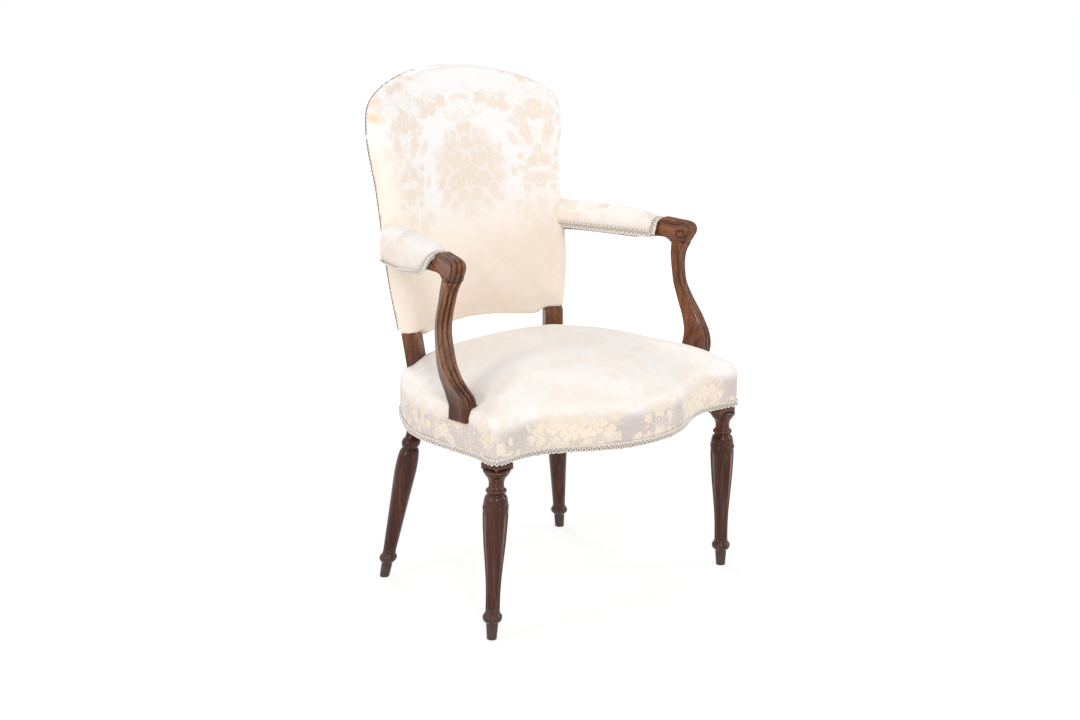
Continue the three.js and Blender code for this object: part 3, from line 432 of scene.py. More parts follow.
# %% Arm
arm_rear = (217.0, 365.0)
arm_front = (291.0, 112.0)
arm_run = math.hypot(arm_front[0] - arm_rear[0], arm_front[1] - arm_rear[1])
arm_along = ((arm_front[0] - arm_rear[0]) / arm_run, (arm_front[1] - arm_rear[1]) / arm_run)
arm_yaw = math.atan2(arm_along[0], -arm_along[1])
arm_half, arm_joint = 14, 619
knuckle_reach, knuckle_height = 262, 636
arm_loop_coarse = [
    # reach from the rear, height over the joint, share of the reeds
    (-20, 1.5, 0), (40, 3.5, 0), (86, 5.5, 0), (140, 6.5, 0), (172, 7.2, 0), (200, 8, 0),
    (215, 9, 0), (225, 9, 0), (231.5, 8, 0), (237, 5.2, 0), (240.4, 2.2, 0), (241.2, 0, 0),
    (250, 0, 0), (262, 0, 0), (270, 0, 0), (273.4, 0, 0.85), (276.2, 4, 1), (280.5, 11, 1),
    (284.6, 18, 1), (286.8, 25, 1), (286, 31.5, 1), (282.2, 37, 1), (276, 40.2, 1), (267, 42, 1),
    (256, 43, 1), (244, 44, 1), (234, 45, 1), (226, 45.4, 0.9), (219, 44.6, 0.65), (214, 40, 0.4),
    (211, 33, 0.25), (207, 27, 0.1), (200, 26, 0), (160, 26, 0), (100, 26, 0), (40, 26, 0),
    (-20, 26, 0),
]
# a flat border beside the reeds: depth under the side view's line, and place across the arm
arm_border = ((9.8, 14), (9.2, 14), (8.6, 12.4), (7.6, 12.4), (7, 14), (4.6, 14))
# a turner's profile: radius, and height over the arm's face
eye_profile = ((11, -2), (11, 0.4), (10.4, 1.3), (9.4, 1.5), (8.6, 1.1), (8.2, -0.4), (7.6, -0.4),
               (7.2, 0.8), (5.8, 1.9), (3.6, 2.4), (1.4, 2.6))
reed_count, reed_deep = 3, 3.4


def arm_point(reach, aside, z):
    x = arm_rear[0] + arm_along[0] * reach - arm_along[1] * aside
    y = arm_rear[1] + arm_along[1] * reach + arm_along[0] * aside
    return place(x, y, z)


def inward(loop):
    """Unit directions that point into an anticlockwise loop at each of its points."""
    flat = np.array(loop, float)[:, :2]
    along = np.roll(flat, -1, 0) - np.roll(flat, 1, 0)
    along /= np.linalg.norm(along, axis=1)[:, None]
    return np.stack([-along[:, 1], along[:, 0]], 1)


def reed_depth(share, depth):
    """How far the surface lies under the tops of the row of reeds, at a share of its width."""
    beat = abs(math.sin(math.pi * reed_count * share))
    return depth * (1 - beat ** 0.85)


def wood_arm(side):
    loop = smooth_line(arm_loop_coarse, 150)
    columns = list(arm_border)
    for share in np.arange(37) / 36:
        rim = 3.2 * (abs(1 - 2 * share) ** 6)
        columns.append((rim + reed_depth(share, reed_deep), 13.4 * (1 - 2 * share)))
    columns += [(depth, -aside) for depth, aside in reversed(arm_border)]
    rings = []
    for depth, aside in columns:
        rounding = 1.2 if abs(aside) > 13.6 else 0
        ring = []
        for (reach, z, reeded), (along, up) in zip(loop, inward(loop)):
            under = depth * reeded + rounding * (1 - reeded)
            ring.append(arm_point(reach + along * under, aside, arm_joint + (z + up * under)))
        rings.append(mirrored(ring, side))
    arm = loft("reeded_arm_" + sides[side], rings)
    eye = [[arm_point(knuckle_reach + r * math.cos(a), -arm_half - h,
                      knuckle_height + r * math.sin(a)) for a in circle(32, 0)]
           for r, h in eye_profile]
    return join(arm, loft("eye", [mirrored(ring, side) for ring in eye]))


arms = {side: wood_arm(side) for side in sides}
print("arm points", len(arms[1].data.vertices))

# %% [markdown]
# The arm support is a cyma curve with three reeds down its front. They run out over a pointed
# toe, and a plain foot below it stands on the side rail. Its sections change in width, depth
# and turn from foot to knuckle, so it is a loft from a table of sections.

# %% Arm support
support_foot = (298.0, 83.5, 379.0)
support_across, support_back = 15, 46
support_rows = [
    # shares of the height and of the two sizes above, width and depth in mm, turn share
    (0, 0, 0, 24.6, 47, 0), (0.095, 0, -0.02, 24.6, 47, 0), (0.12, 0.04, -0.05, 25.4, 51.4, 0.04),
    (0.145, 0.12, -0.05, 26.4, 54, 0.1), (0.17, 0.22, -0.045, 27.2, 54.8, 0.16),
    (0.195, 0.34, -0.025, 27.8, 53.6, 0.24), (0.225, 0.54, 0.02, 28.2, 50.6, 0.36),
    (0.255, 0.72, 0.08, 28.4, 47.4, 0.5), (0.3, 0.92, 0.185, 28.6, 43, 0.7),
    (0.335, 0.98, 0.28, 28.6, 39.6, 0.85), (0.38, 1, 0.39, 28.6, 36.4, 1),
    (0.42, 0.97, 0.49, 28.6, 33.6, 1.15), (0.505, 0.73, 0.69, 28.4, 28.4, 1.35),
    (0.59, 0.47, 0.86, 28, 23.4, 1.4), (0.67, 0.2, 0.97, 27.6, 20.6, 1.35),
    (0.755, -0.03, 0.99, 27.2, 19.8, 1.2), (0.84, -0.3, 0.96, 27, 21, 1.1),
    (0.92, -0.44, 0.9, 27.2, 24.4, 1), (1, -0.5, 0.75, 28, 32.2, 1)]


def support_section(width, depth, reeds):
    """Points round the section: reeds over the front, plain sides, a rounded rear."""
    front = []
    for share in np.arange(49) / 48:
        rim = 2.6 * abs(1 - 2 * share) ** 7
        front.append((width * (share - 0.5), -depth / 2 + reed_depth(share, reed_deep * reeds)
                      + rim * min(1, reeds + 0.4)))
    corner = 4
    half = [(width / 2, -depth / 2 + 3 + (depth - 7) * i / 10) for i in range(1, 10)]
    for i in range(13):
        angle = math.pi / 2 * i / 12
        half.append((width / 2 - corner + corner * math.cos(angle),
                     depth / 2 - corner + corner * math.sin(angle)))
    rear = [(width / 2 - corner - (width - 8) * i / 6, depth / 2) for i in range(1, 6)]
    return front + half + rear + [(-x, y) for x, y in reversed(half)]


def support_rings(grow=0, low=0.0, high=1.0):
    """Rings up the support, or round it with some room, between two shares of its height."""
    rings = []
    rise = arm_joint - 0.3 - support_foot[2]
    for i in range(73):
        h = low + (high - low) * i / 72
        across, back, width, depth, turn = between(support_rows, h)
        reeds = ease(0.1, 0.16, h) if grow == 0 else 0
        x0 = support_foot[0] + across * support_across
        y0 = support_foot[1] + back * support_back
        c, s = math.cos(turn * arm_yaw), math.sin(turn * arm_yaw)
        rings.append([place(x0 + u * c - v * s, y0 + u * s + v * c, support_foot[2] + h * rise)
                      for u, v in support_section(width + 2 * grow, depth + 2 * grow, reeds)])
    return rings


supports = {side: loft("reeded_arm_support_" + sides[side],
                       [mirrored(ring, side) for ring in support_rings()]) for side in sides}
print("support points", len(supports[1].data.vertices))

# %% [markdown]
# Stuffed work is cloth pulled tight over horsehair. Each pad starts as a slightly lean closed
# form. It is remeshed into even small faces, then the cloth simulation swells it from inside,
# so that it rounds as real stuffing does. How far a point may move is capped, to keep the line
# that the upholsterer's tacks gave it.

# %% Cloth simulation
def stuff(obj, voxel, cap, held, pressure, evening, frames=20):
    """Swells a closed form; points where held(co) is true are tacked down. A point moves out by
    the cap at most, and inward or sideways by 1 mm. Then small steps are evened out and the
    faces divided once, so that the cloth's curves are fine. All sizes are in metres."""
    choose(obj)
    finish_with(obj, "REMESH", mode="VOXEL", voxel_size=voxel)
    start = mesh_points(obj)
    tacks = obj.vertex_groups.new(name="tacks")
    tacks.add([i for i, co in enumerate(start) if held(co)], 1.0, "REPLACE")
    cloth = obj.modifiers.new("swelling", "CLOTH")
    for name, value in {"quality": 6, "mass": 0.25, "tension_stiffness": 12,
                        "compression_stiffness": 12, "bending_stiffness": 0.4,
                        "use_pressure": True, "uniform_pressure_force": pressure,
                        "vertex_group_mass": tacks.name}.items():
        setattr(cloth.settings, name, value)
    cloth.settings.effector_weights.gravity = 0
    cloth.point_cache.frame_start, cloth.point_cache.frame_end = 1, frames
    for step in range(1, frames + 1):
        bpy.context.scene.frame_set(step)
    seen = obj.evaluated_get(bpy.context.evaluated_depsgraph_get())
    move = mesh_points(seen) - start
    normals = mesh_points(obj, "normal")
    rise = (move * normals).sum(1)
    aside = move - rise[:, None] * normals
    aside_length = np.maximum(np.linalg.norm(aside, axis=1), 1e-9)
    aside *= np.minimum(1, MM / aside_length)[:, None]
    length = np.clip(rise, -MM, cap)
    obj.modifiers.remove(cloth)
    bpy.context.scene.frame_set(1)
    obj.data.vertices.foreach_set("co", (start + (aside + normals * length[:, None])).ravel())
    print(obj.name, "swells by", round(float(np.mean(length)) * 1000, 1), "mm on average, and",
          round(float(rise.max()) * 1000, 1), "mm at most before the cap")
    obj.data.update()
    finish_with(obj, "SMOOTH", factor=0.5, iterations=evening)
    finish_with(obj, "SUBSURF", levels=1, render_levels=1)


def volume(mesh):
    """Cubic metres inside a closed mesh."""
    form = bmesh.new()
    form.from_mesh(mesh)
    held = form.calc_volume(signed=True)
    form.free()
    return held


def cut(obj, *cutters):
    """Cuts closed forms away from a piece, then removes them. A cut that fails takes nothing
    or far too much, so the share that is left is checked, and the other solver does it again."""
    least_left, most_left = 0.3, 0.999999
    choose(obj)
    for cutter in cutters:
        before, whole = volume(obj.data), obj.data.copy()
        for solver in ("MANIFOLD", "EXACT"):
            finish_with(obj, "BOOLEAN", operation="DIFFERENCE", solver=solver, object=cutter)
            share = volume(obj.data) / before
            if least_left < share < most_left:
                break
            obj.data = whole.copy()
        print(obj.name, "keeps", round(100 * share, 1), "% after", cutter.name, "by", solver)
        bpy.data.objects.remove(cutter)
    bpy.ops.object.mode_set(mode="EDIT")
    bpy.ops.mesh.select_all(action="SELECT")
    bpy.ops.mesh.remove_doubles(threshold=0.03 * MM)
    bpy.ops.mesh.select_all(action="DESELECT")
    bpy.ops.mesh.select_non_manifold()
    bpy.ops.mesh.fill_holes(sides=0)
    bpy.ops.object.mode_set(mode="OBJECT")


def hollow(obj, open_at, thickness=2.0):
    """Opens a closed form where open_at(centre, normal) is true, and leaves cloth."""
    choose(obj)
    bpy.ops.object.mode_set(mode="EDIT")
    bpy.ops.mesh.select_all(action="DESELECT")
    bpy.ops.mesh.select_mode(type="FACE")
    form = bmesh.from_edit_mesh(obj.data)
    for face in form.faces:
        face.select_set(open_at(face.calc_center_median(), face.normal))
    bpy.ops.mesh.delete(type="FACE")
    bpy.ops.mesh.select_mode(type="VERT")
    bpy.ops.object.mode_set(mode="OBJECT")
    finish_with(obj, "SOLIDIFY", thickness=thickness * MM, offset=-1, use_even_offset=False)


# %% [markdown]
# The seat is stuffed over the rails: its border is pulled down over them and tacked along the
# lower edge, and its top is a wide, low crown. The front is a serpentine. Its outline is a
# table of shares of the half width, the front's bulge and the seat's depth.

# %% Seat outline
seat_half, corner_y, front_bulge, seat_depth = 312.6, -21.8, 71, 386
rear_half, rear_bow = 202, 36
cover_low, roll_height, roll_radius, seat_crown = 320.6, 402, 9, 70
front_shares = [[0, 1], [0.16, 0.92], [0.27, 0.765], [0.37, 0.565], [0.51, 0.2], [0.61, 0],
                [0.69, -0.095], [0.77, -0.12], [0.88, -0.067], [0.955, -0.02]]
edge_shares = [[0.993, 0.012], [1, 0.035], [0.993, 0.07], [0.972, 0.16], [0.967, 0.334],
               [0.963, 0.468], [0.948, 0.562], [0.9, 0.683], [0.819, 0.805], [0.768, 0.865],
               [0.704, 0.94], [0.655, 0.99]]


def seat_outline(count):
    """Evenly spaced points round the seat, anticlockwise from the middle of the front."""
    half = [(x * seat_half, corner_y - y * front_bulge) for x, y in front_shares]
    half += [(x * seat_half, corner_y + y * seat_depth) for x, y in edge_shares]
    for across in (0.93, 0.8, 0.6, 0.4, 0.2, 0):
        half.append((across * rear_half,
                     corner_y + seat_depth + 4 + (rear_bow - 4) * (1 - across ** 2)))
    whole = half + [(-x, y) for x, y in reversed(half[1:-1])] + [half[0]]
    return smooth_line(whole, count + 1)[:-1]


def outward(loop):
    return -inward(loop)


def nearest(flat, loop):
    """Which point of a loop lies nearest, for each flat point."""
    return np.concatenate([((part[:, None] - loop[None]) ** 2).sum(2).argmin(1)
                           for part in np.array_split(flat, 1 + len(flat) // 5000)])


# %% Seat
seat_middle_y = corner_y + seat_depth / 2
seat_swell, crown_sink = 2.0, 4.5
# the border: share of the outline, height, share of the swell
border_rows = [(1, 334, 0.6), (1, 348, 1), (1, 362, 1), (1, 376, 0.8), (1, 386, 0.4)]
crown_shares = (0.95, 0.92, 0.88, 0.83, 0.77, 0.7, 0.62, 0.53, 0.43, 0.32, 0.2, 0.08)


def crown_at(r):
    return roll_height + seat_crown * (1 - r ** 2.5)


def seat_form(name, points, lean):
    """The border rises over the rails, rolls over and goes on as the crown."""
    loop = seat_outline(points)
    reach_in = roll_radius / seat_half
    rim_rise = crown_at(1 - reach_in) - (roll_height - roll_radius)
    rows = [(1, cover_low, 0), *border_rows]
    for share in (0, 0.25, 0.5, 0.75, 1):
        angle = share * math.pi / 2
        rows.append((1 - reach_in * (1 - math.cos(angle)),
                     roll_height - roll_radius + rim_rise * math.sin(angle), 0))
    rows += [(r, crown_at(r), 0) for r in crown_shares]
    rings = []
    for r, z, bulge in rows:
        swell = bulge * seat_swell - lean * r
        sink = lean + crown_sink * (1 - r ** 4) if z > roll_height else 0
        rings.append([place(x * r + nx * swell,
                            seat_middle_y + (y - seat_middle_y) * r + ny * swell, z - sink)
                      for (x, y), (nx, ny) in zip(loop, outward(loop))])
    return loft(name, rings)


def keep_over_rails(obj):
    """The border can't go in further than the rails that it is pulled over."""
    loop = seat_outline(400)
    out = outward(loop)
    points = mesh_points(obj)
    low = points[:, 2] < 0.394
    flat = points[low, :2] / MM - (0, DEPTH_SHIFT)
    near = nearest(flat, loop)
    proud = ((flat - loop[near]) * out[near]).sum(1)
    short = np.where(proud > -25, np.maximum(0, 0.2 - proud), 0)
    fade = np.clip((394 - points[low, 2] / MM) / 6, 0, 1)
    points[low, :2] += out[near] * (short * fade)[:, None] * MM
    obj.data.vertices.foreach_set("co", points.ravel())
    obj.data.update()
    print("border pushed out by up to", round(float((short * fade).max()), 2), "mm")


def turn_under(obj):
    """Below each arm support the cover is slit, and its front edge laps over the rear one."""
    lap_y, lap, lap_rise, border_at = support_foot[1] + 20.5, 26, 1.7, 240
    for vertex in obj.data.vertices:
        x, y, z = vertex.co / MM
        ahead = lap_y - (y - DEPTH_SHIFT)
        if abs(x) > border_at and 0 < ahead < lap and z < 388:
            rise = lap_rise * (1 - ahead / lap) ** 1.5 * ease(388, 376, z)
            vertex.co.x += math.copysign(rise * MM, x)


room_grow = 0.6


def roomy_section(z, angle):
    return stile_section(z, angle, room_grow)


def stile_room(side, *parts):
    """A cutter that leaves room for a stile. A part is a section's function and its heights."""
    rings = [[section_at(z, a) for a in circle(48)]
             for section_at, heights in parts for z in heights]
    return loft("stile_room", [mirrored(ring, side) for ring in rings])


seat = seat_form("stuffed_seat", 144, 0.2)
stuff(seat, 0.006, 0.005, lambda co: co[2] < 0.331, pressure=4.0, evening=3)
keep_over_rails(seat)
turn_under(seat)
hollow(seat, lambda centre, normal: centre.z < 0.3245 and normal.z < -0.5)
cutters = []
for side in sides:
    cutters.append(loft("support_room", [mirrored(ring, side)
                                         for ring in support_rings(room_grow, 0, 0.3)]))
    cutters.append(stile_room(side, (roomy_section, (380, 388, 394, 400, 412, 430, 450))))
cut(seat, *cutters)
print("seat faces", len(seat.data.polygons))

# %% [markdown]
# The back is stuffed on its front only. The same cloth wraps round the edge to the rear, where
# it meets the outside back in a hand-sewn seam. Its outline is a hoop on two legs, and its
# surface follows the hollow of the frame, so every ring goes through the back's own function.

# %% Back outline
back_crown, back_edge_round, back_depth = 18, 8, 35.2


def back_outline(count):
    """Evenly spaced points round the back, anticlockwise from the middle of its lower edge."""
    half = sill_line[:-1] + [(back_half * 0.815, back_bottom + 9.6)] + side_line
    whole = half + [(-x, z) for x, z in reversed(half[1:-1])] + [half[0]]
    return smooth_line(whole, count + 1)[:-1]


back_middle_z = back_bottom + back_height / 2


def back_form(name, rows, points):
    """Rings over the back: each row is a share of the outline and a depth."""
    loop = back_outline(points)
    return loft(name, [[back_point(x * r, back_middle_z + (z - back_middle_z) * r, depth)
                        for x, z in loop] for r, depth in rows])


# %% Stuffed back
def stile_opening(z, angle):
    """Above the cloth's edge the hole for the stile stays behind the face."""
    u, v = squared(angle, 0.5, 7)
    return back_point(back_reach(z) - cover_gap - stile_width / 2 + u * 30, z, 19.8 + v * 32)


edge_in = back_edge_round / back_half
rows = [(r, back_depth) for r in (0.06, 0.25, 0.45, 0.65, 0.82, 0.94, 1)]
rows += [(1, 28), (1, 20), (1, 14), (1, back_edge_round)]
for share in (0.25, 0.5, 0.75, 1):
    angle = share * math.pi / 2
    rows.append((1 - edge_in * (1 - math.cos(angle)),
                 back_edge_round * (1 - math.sin(angle)) - share))
rows += [(r, -back_crown * (1 - r ** 2.4) + 1.5)
         for r in (0.94, 0.9, 0.84, 0.76, 0.67, 0.57, 0.46, 0.34, 0.21, 0.08)]
stuffed_back = back_form("stuffed_back", rows, 150)


def depth_at(co):
    """How deep a point lies behind the back's face, in millimetres."""
    x, y, z = co[0] / MM, co[1] / MM - DEPTH_SHIFT, co[2] / MM
    reach = back_reach(z)
    face = back_face_y + back_rake * (z - back_bottom) + back_bow * (1 - (x / reach) ** 2)
    return (y - face) / math.hypot(1, -2 * back_bow * x / reach ** 2)


def away_from_face(co, normal):
    """True on the rear of the form, where the cloth is open."""
    x, z = co[0] / MM, co[2] / MM
    slope = -2 * back_bow * x / back_reach(z) ** 2
    lean = math.hypot(1, slope)
    return normal[0] * -slope / lean + normal[1] / lean > 0.6


stuff(stuffed_back, 0.0055, 0.006, lambda co: depth_at(co) > 24, pressure=4.0, evening=3)
back_solid = twin(stuffed_back)
hollow(stuffed_back,
       lambda centre, normal: depth_at(centre) > 33 and away_from_face(centre, normal))
cut(stuffed_back, *[stile_room(side, (roomy_section, (430, 445, 458, 466)),
                               (stile_opening, (467.5, 470, 474))) for side in sides])
print("back faces", len(stuffed_back.data.polygons))

# %% Outside back
inner_face, outer_face = 32.9, 34.7
cloth_shares = (0.05, 0.25, 0.45, 0.65, 0.85, 0.97)
outside_back = back_form(
    "outside_back", [(r, inner_face) for r in cloth_shares] + [(0.984, 33.2), (0.984, 34.2)]
    + [(r, outer_face) for r in reversed(cloth_shares)], 150)
print("outside back points", len(outside_back.data.vertices))

# %% [markdown]
# The outside back is sewn on by hand with close, slanting stitches. They are modelled as a thin
# twisted cord along the rear edge, whose strands lie at the angle of the stitches.
# The cord is finished dark, so that it also gives the thin shadow line along that edge as painted
# shade.

# %% Back seam
def neighbours(path):
    """Each point of a path with the points before and after it."""
    return zip([path[0], *path[:-1]], path, [*path[1:], path[-1]])


def twisted_cord(name, path, radius, twist):
    """Two strands wound round each other along a path; twist is one turn in millimetres."""
    strands = []
    for start in (0, math.pi):
        rings, run = [], 0.0
        for before, p, after in neighbours(path):
            along = (after - before).normalized()
            aside = along.cross(Vector((0, 1, 0.2))).normalized()
            over = aside.cross(along)
            run += (p - before).length / MM
            turn = start + 2 * math.pi * run / twist
            middle = p + (aside * math.cos(turn) + over * math.sin(turn)) * radius * 0.5
            rings.append([middle + (aside * math.cos(a) + over * math.sin(a)) * radius * 0.62
                          for a in (math.pi * k / 3 for k in range(6))])
        strands.append(loft(name, rings))
    return join(*strands)


seam_share, seam_radius, seam_twist = 0.988, 0.0012, 14.0
seam_line = smooth_line([p for p in back_outline(400) if p[1] > 470], 420)
back_seam = twisted_cord(
    "back_seam_stitching",
    [back_point(x * seam_share, back_middle_z + (z - back_middle_z) * seam_share, back_depth)
     for x, z in seam_line], seam_radius, seam_twist)
print("back seam points", len(back_seam.data.vertices))

# %% [markdown]
# Each arm has a small pad over its rear two thirds. Its section is a low arch, its front end
# slants down and back on the outside, and it is hollow below where it sits on the wood.

# %% Arm pad
pad_section = [(-0.46, 0), (-0.2, 0), (0.2, 0), (0.46, 0), (0.497, 0.16), (0.5, 0.4), (0.485, 0.6),
               (0.44, 0.78), (0.36, 0.89), (0.24, 0.955), (0.12, 0.99), (0, 1), (-0.12, 0.99),
               (-0.24, 0.955), (-0.36, 0.89), (-0.44, 0.78), (-0.485, 0.6), (-0.5, 0.4),
               (-0.497, 0.16)]
pad_heights = [(0, 1), (0.3, 1), (0.6, 0.97), (0.82, 0.9), (0.93, 0.79), (1, 0.6)]
arm_length, pad_setback, pad_top, pad_bottom = 288, 74, 680, 628.5
pad_rear_width, pad_front_width, pad_rear = 50, 42, -12
slant_outside, slant_inside, drop_outside = 42, 8, 13
pad_sag = {1: 0, -1: 13}  # millimetres that the cover hangs down on its outer side


def pad_end(u, v):
    """The front end slants: it reaches less far low down, most of all on the outside."""
    outer = 0.5 + u
    slant = slant_outside * outer + slant_inside * (1 - outer)
    return arm_length - pad_setback - (1 - v) * slant


def pad_point(u, v, run, grow=0.0, sag=0.0):
    """u goes across from -0.5 inside to 0.5 outside, v goes up, run goes forward from 0 to 1."""
    rise = (pad_top - pad_bottom) * between(pad_heights, run)[0]
    width = pad_rear_width + (pad_front_width - pad_rear_width) * run ** 3
    reach = pad_rear + (pad_end(u, v) - pad_rear) * run + grow * (2 * run - 1)
    belly = sag * ease(0.1, 0.45, u) * ease(-0.02, 0.16, run) * (1 - 0.75 * ease(0.45, 0.95, run))
    drop = (drop_outside * (0.5 + u) + belly) * (1 - v) * (1 - 0.55 * ease(0.84, 1, run))
    return arm_point(reach, u * (width + 2 * grow),
                     pad_bottom - drop - grow + v * (rise + 2 * grow))


def arm_room(side):
    """The arm's wood, a little grown, to hollow out the pad."""
    loop = smooth_line(arm_loop_coarse, 150)
    moved = [(s - n[0] * 0.4, z - n[1] * 0.4) for (s, z, _), n in zip(loop, inward(loop))]
    return loft("arm_room", [mirrored([arm_point(s, aside, arm_joint + z) for s, z in moved], side)
                             for aside in (arm_half + 0.5, -arm_half - 0.5)])


def pleat(pad, side):
    """Gathers along the lower edge, where the silk is tacked: small folds 8 mm apart."""
    fold_spacing, fold_height = 8, 1.1
    for vertex in pad.data.vertices:
        x, y, z = vertex.co / MM
        away = (side * x - arm_rear[0], y - DEPTH_SHIFT - arm_rear[1])
        run = away[0] * arm_along[0] + away[1] * arm_along[1]
        low_line = pad_bottom + 6 - 4 * ease(0, 210, run)
        wave = math.sin(2 * math.pi * run / fold_spacing + 0.9 * math.sin(run / 13))
        fold = ease(26, 0, z - low_line) * (0.5 + 0.5 * wave)
        vertex.co += vertex.normal * fold_height * fold * MM


section = smooth_line(pad_section + [pad_section[0]], 57)[:-1]
pad_runs = (0, 0.1, 0.2, 0.3, 0.4, 0.5, 0.6, 0.68, 0.75, 0.81, 0.86, 0.9, 0.93, 0.955, 0.975,
            0.99, 1)
pads = {}
for side, label in sides.items():
    rings = [mirrored([pad_point(u, v, run, -1.0, pad_sag[side]) for u, v in section], side)
             for run in pad_runs]
    pads[side] = pad = loft("stuffed_arm_pad_" + label, rings)
    stuff(pad, 0.004, 0.0035, lambda co: co[2] < 0.6325, pressure=3.0, evening=2)
    pleat(pad, side)
    cut(pad, arm_room(side), twin(back_solid))
    print("arm pad of", round(volume(pad.data) * 1e6), "cubic centimetres and",
          len(pad.data.polygons), "faces")
bpy.data.objects.remove(back_solid)

# %% [markdown]
# The gimp is a narrow woven braid that hides the tacks. Seen close it is a plait: a row of
# small slanted loops over a row of larger ones, sewn to a tape. One loop is modelled from a
# small sphere, and copies of its mesh are set along the edge, each turned to the surface.

# %% Gimp
def shape_of(obj):
    """The points and faces of a primitive, which is then removed."""
    shape = ([tuple(vertex.co) for vertex in obj.data.vertices],
             [tuple(face.vertices) for face in obj.data.polygons])
    bpy.data.objects.remove(obj)
    return shape


choose()
bpy.ops.mesh.primitive_uv_sphere_add(segments=8, ring_count=6, radius=0.5)
bead_shape = shape_of(bpy.context.object)
bpy.ops.mesh.primitive_torus_add(major_segments=12, minor_segments=6, major_radius=0.36,
                                 minor_radius=0.14)
bpy.ops.object.mode_set(mode="EDIT")
bpy.ops.mesh.select_all(action="SELECT")
bpy.ops.transform.rotate(value=math.pi / 2, orient_axis="X", center_override=(0, 0, 0))
bpy.ops.object.mode_set(mode="OBJECT")
loop_shape = shape_of(bpy.context.object)
tape_starts = {}


def braid(name, path, faces_out, rises, pitch, width):
    """path: points along the middle of the braid; faces_out and rises: its outward and upward
    directions there, all in metres. pitch is the width of one loop in millimetres."""
    tables = [np.array([tuple(p) for p in rows]) for rows in (path, faces_out, rises)]
    run = np.concatenate([[0], np.cumsum(np.linalg.norm(np.diff(tables[0], axis=0), axis=1))])
    count = 2 * int(run[-1] / (pitch * MM))
    points, shapes = [], []
    for i in range(count):
        at = run[-1] * (i + 0.5) / count
        centre, out, up = (np.array([np.interp(at, run, table[:, k]) for k in range(3)])
                           for table in tables)
        out /= np.linalg.norm(out)
        up -= out * up.dot(out)
        up /= np.linalg.norm(up)
        along = np.cross(out, up)
        # shape, lift as a share of the width, height, width and thickness in mm, tilt
        cords = [(bead_shape, 0.29, 0.44 * width, 0.52 * pitch, 2.6, 0.6)]
        if i % 2 == 0:
            cords.append((loop_shape, -0.17, 0.74 * width, 0.92 * pitch, 8.5, -0.25))
        for (form, faces), lift, tall, wide, thick, tilt in cords:
            tilt += random.uniform(-0.14, 0.14)
            tall *= random.uniform(0.9, 1.08)
            lift += random.uniform(-0.02, 0.02)
            side_way = along * math.cos(tilt) + up * math.sin(tilt)
            up_way = up * math.cos(tilt) - along * math.sin(tilt)
            middle = centre + up * lift * width * MM + out * 0.9 * MM
            base = len(points)
            points += [middle + MM * (side_way * x * wide + out * y * thick + up_way * z * tall)
                       for x, y, z in form]
            shapes += [tuple(base + k for k in face) for face in faces]
    mesh = bpy.data.meshes.new(name)
    mesh.from_pydata([tuple(p) for p in points], [], shapes)
    cord = bpy.data.objects.new(name, mesh)
    bpy.context.scene.collection.objects.link(cord)
    tape_starts[name] = len(shapes)
    tape_rings = []
    for p, out, up in zip(*tables):
        out, up, centre = Vector(out).normalized(), Vector(up).normalized(), Vector(p)
        half, deep = 0.36 * width * MM, 0.7 * MM
        tape_rings.append([centre + up * half, centre + up * half + out * deep,
                           centre - up * half + out * deep, centre - up * half])
    join(cord, loft("tape", tape_rings))
    bpy.ops.object.mode_set(mode="EDIT")
    bpy.ops.mesh.select_all(action="SELECT")
    bpy.ops.mesh.normals_make_consistent(inside=False)
    bpy.ops.object.mode_set(mode="OBJECT")
    bpy.ops.object.shade_smooth_by_angle(angle=math.radians(50))
    return cord


gimp_loop = seat_outline(400)
gimp_out = outward(gimp_loop)
order = [(200 + i) % 400 for i in range(401)]  # from the middle of the rear, all the way round
seat_gimp = braid(
    "seat_braid", [place(*(gimp_loop[i] + gimp_out[i] * 0.8), 326.6) for i in order],
    [(*gimp_out[i], 0) for i in order], [(0, 0, 1)] * len(order), pitch=9.2, width=12.5)
print("seat braid faces", len(seat_gimp.data.polygons))


# %% Gimp of the arm pads
def pad_gimp(side):
    """Along the outer lower edge, up over the slanted end, and back along the inner edge."""
    lower, end_run = 4.6 / (pad_top - pad_bottom), 0.985
    path = [pad_point(0.495, lower, 0.09 + (end_run - 0.09) * i / 27, 0.5, pad_sag[side])
            for i in range(28)]
    arch = smooth_line([(0.5, 0.12), (0.5, 0.4), (0.43, 0.8), (0.2, 0.97), (0, 1), (-0.2, 0.97),
                        (-0.43, 0.8), (-0.5, 0.4), (-0.5, 0.12)], 30)
    path += [pad_point(u, v, end_run, 0.5, pad_sag[side]) for u, v in arch[1:-1]]
    path += [pad_point(-0.495, lower, end_run - (end_run - 0.06) * i / 27, 0.5)
             for i in range(28)]
    axis_start, axis_end = pad_point(0, 0.45, 0), pad_point(0, 0.45, 1)
    axis = (axis_end - axis_start).normalized()
    outs, rises = [], []
    for before, p, after in neighbours(path):
        along = (after - before).normalized()
        out = p - (axis_start + axis * (p - axis_start).dot(axis))
        outs.append((out - along * out.dot(along)).normalized())
        rises.append(outs[-1].cross(along).normalized())
    if side < 0:
        path, outs, rises = (mirrored(rows, side) for rows in (path, outs, rises))
    return braid("arm_braid_" + sides[side], path, outs, rises, pitch=9.0, width=15.5)


arm_gimps = {side: pad_gimp(side) for side in sides}

# %% [markdown]
# Under the seat a thin calico keeps the dust in. It is tacked to the undersides of the rails
# and sags a little in the middle.

# %% Bottom cloth
low_corner, high_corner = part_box("bottom_cloth")
cloth_loop = seat_outline(120)
cloth_loop = cloth_loop + inward(cloth_loop) * 8.2
cloth_top, cloth_under = high_corner.z / MM, low_corner.z / MM


def cloth_ring(r, z):
    return [place(x * r, seat_middle_y + (y - seat_middle_y) * r, z - cloth_sag * (1 - r * r))
            for x, y in cloth_loop]


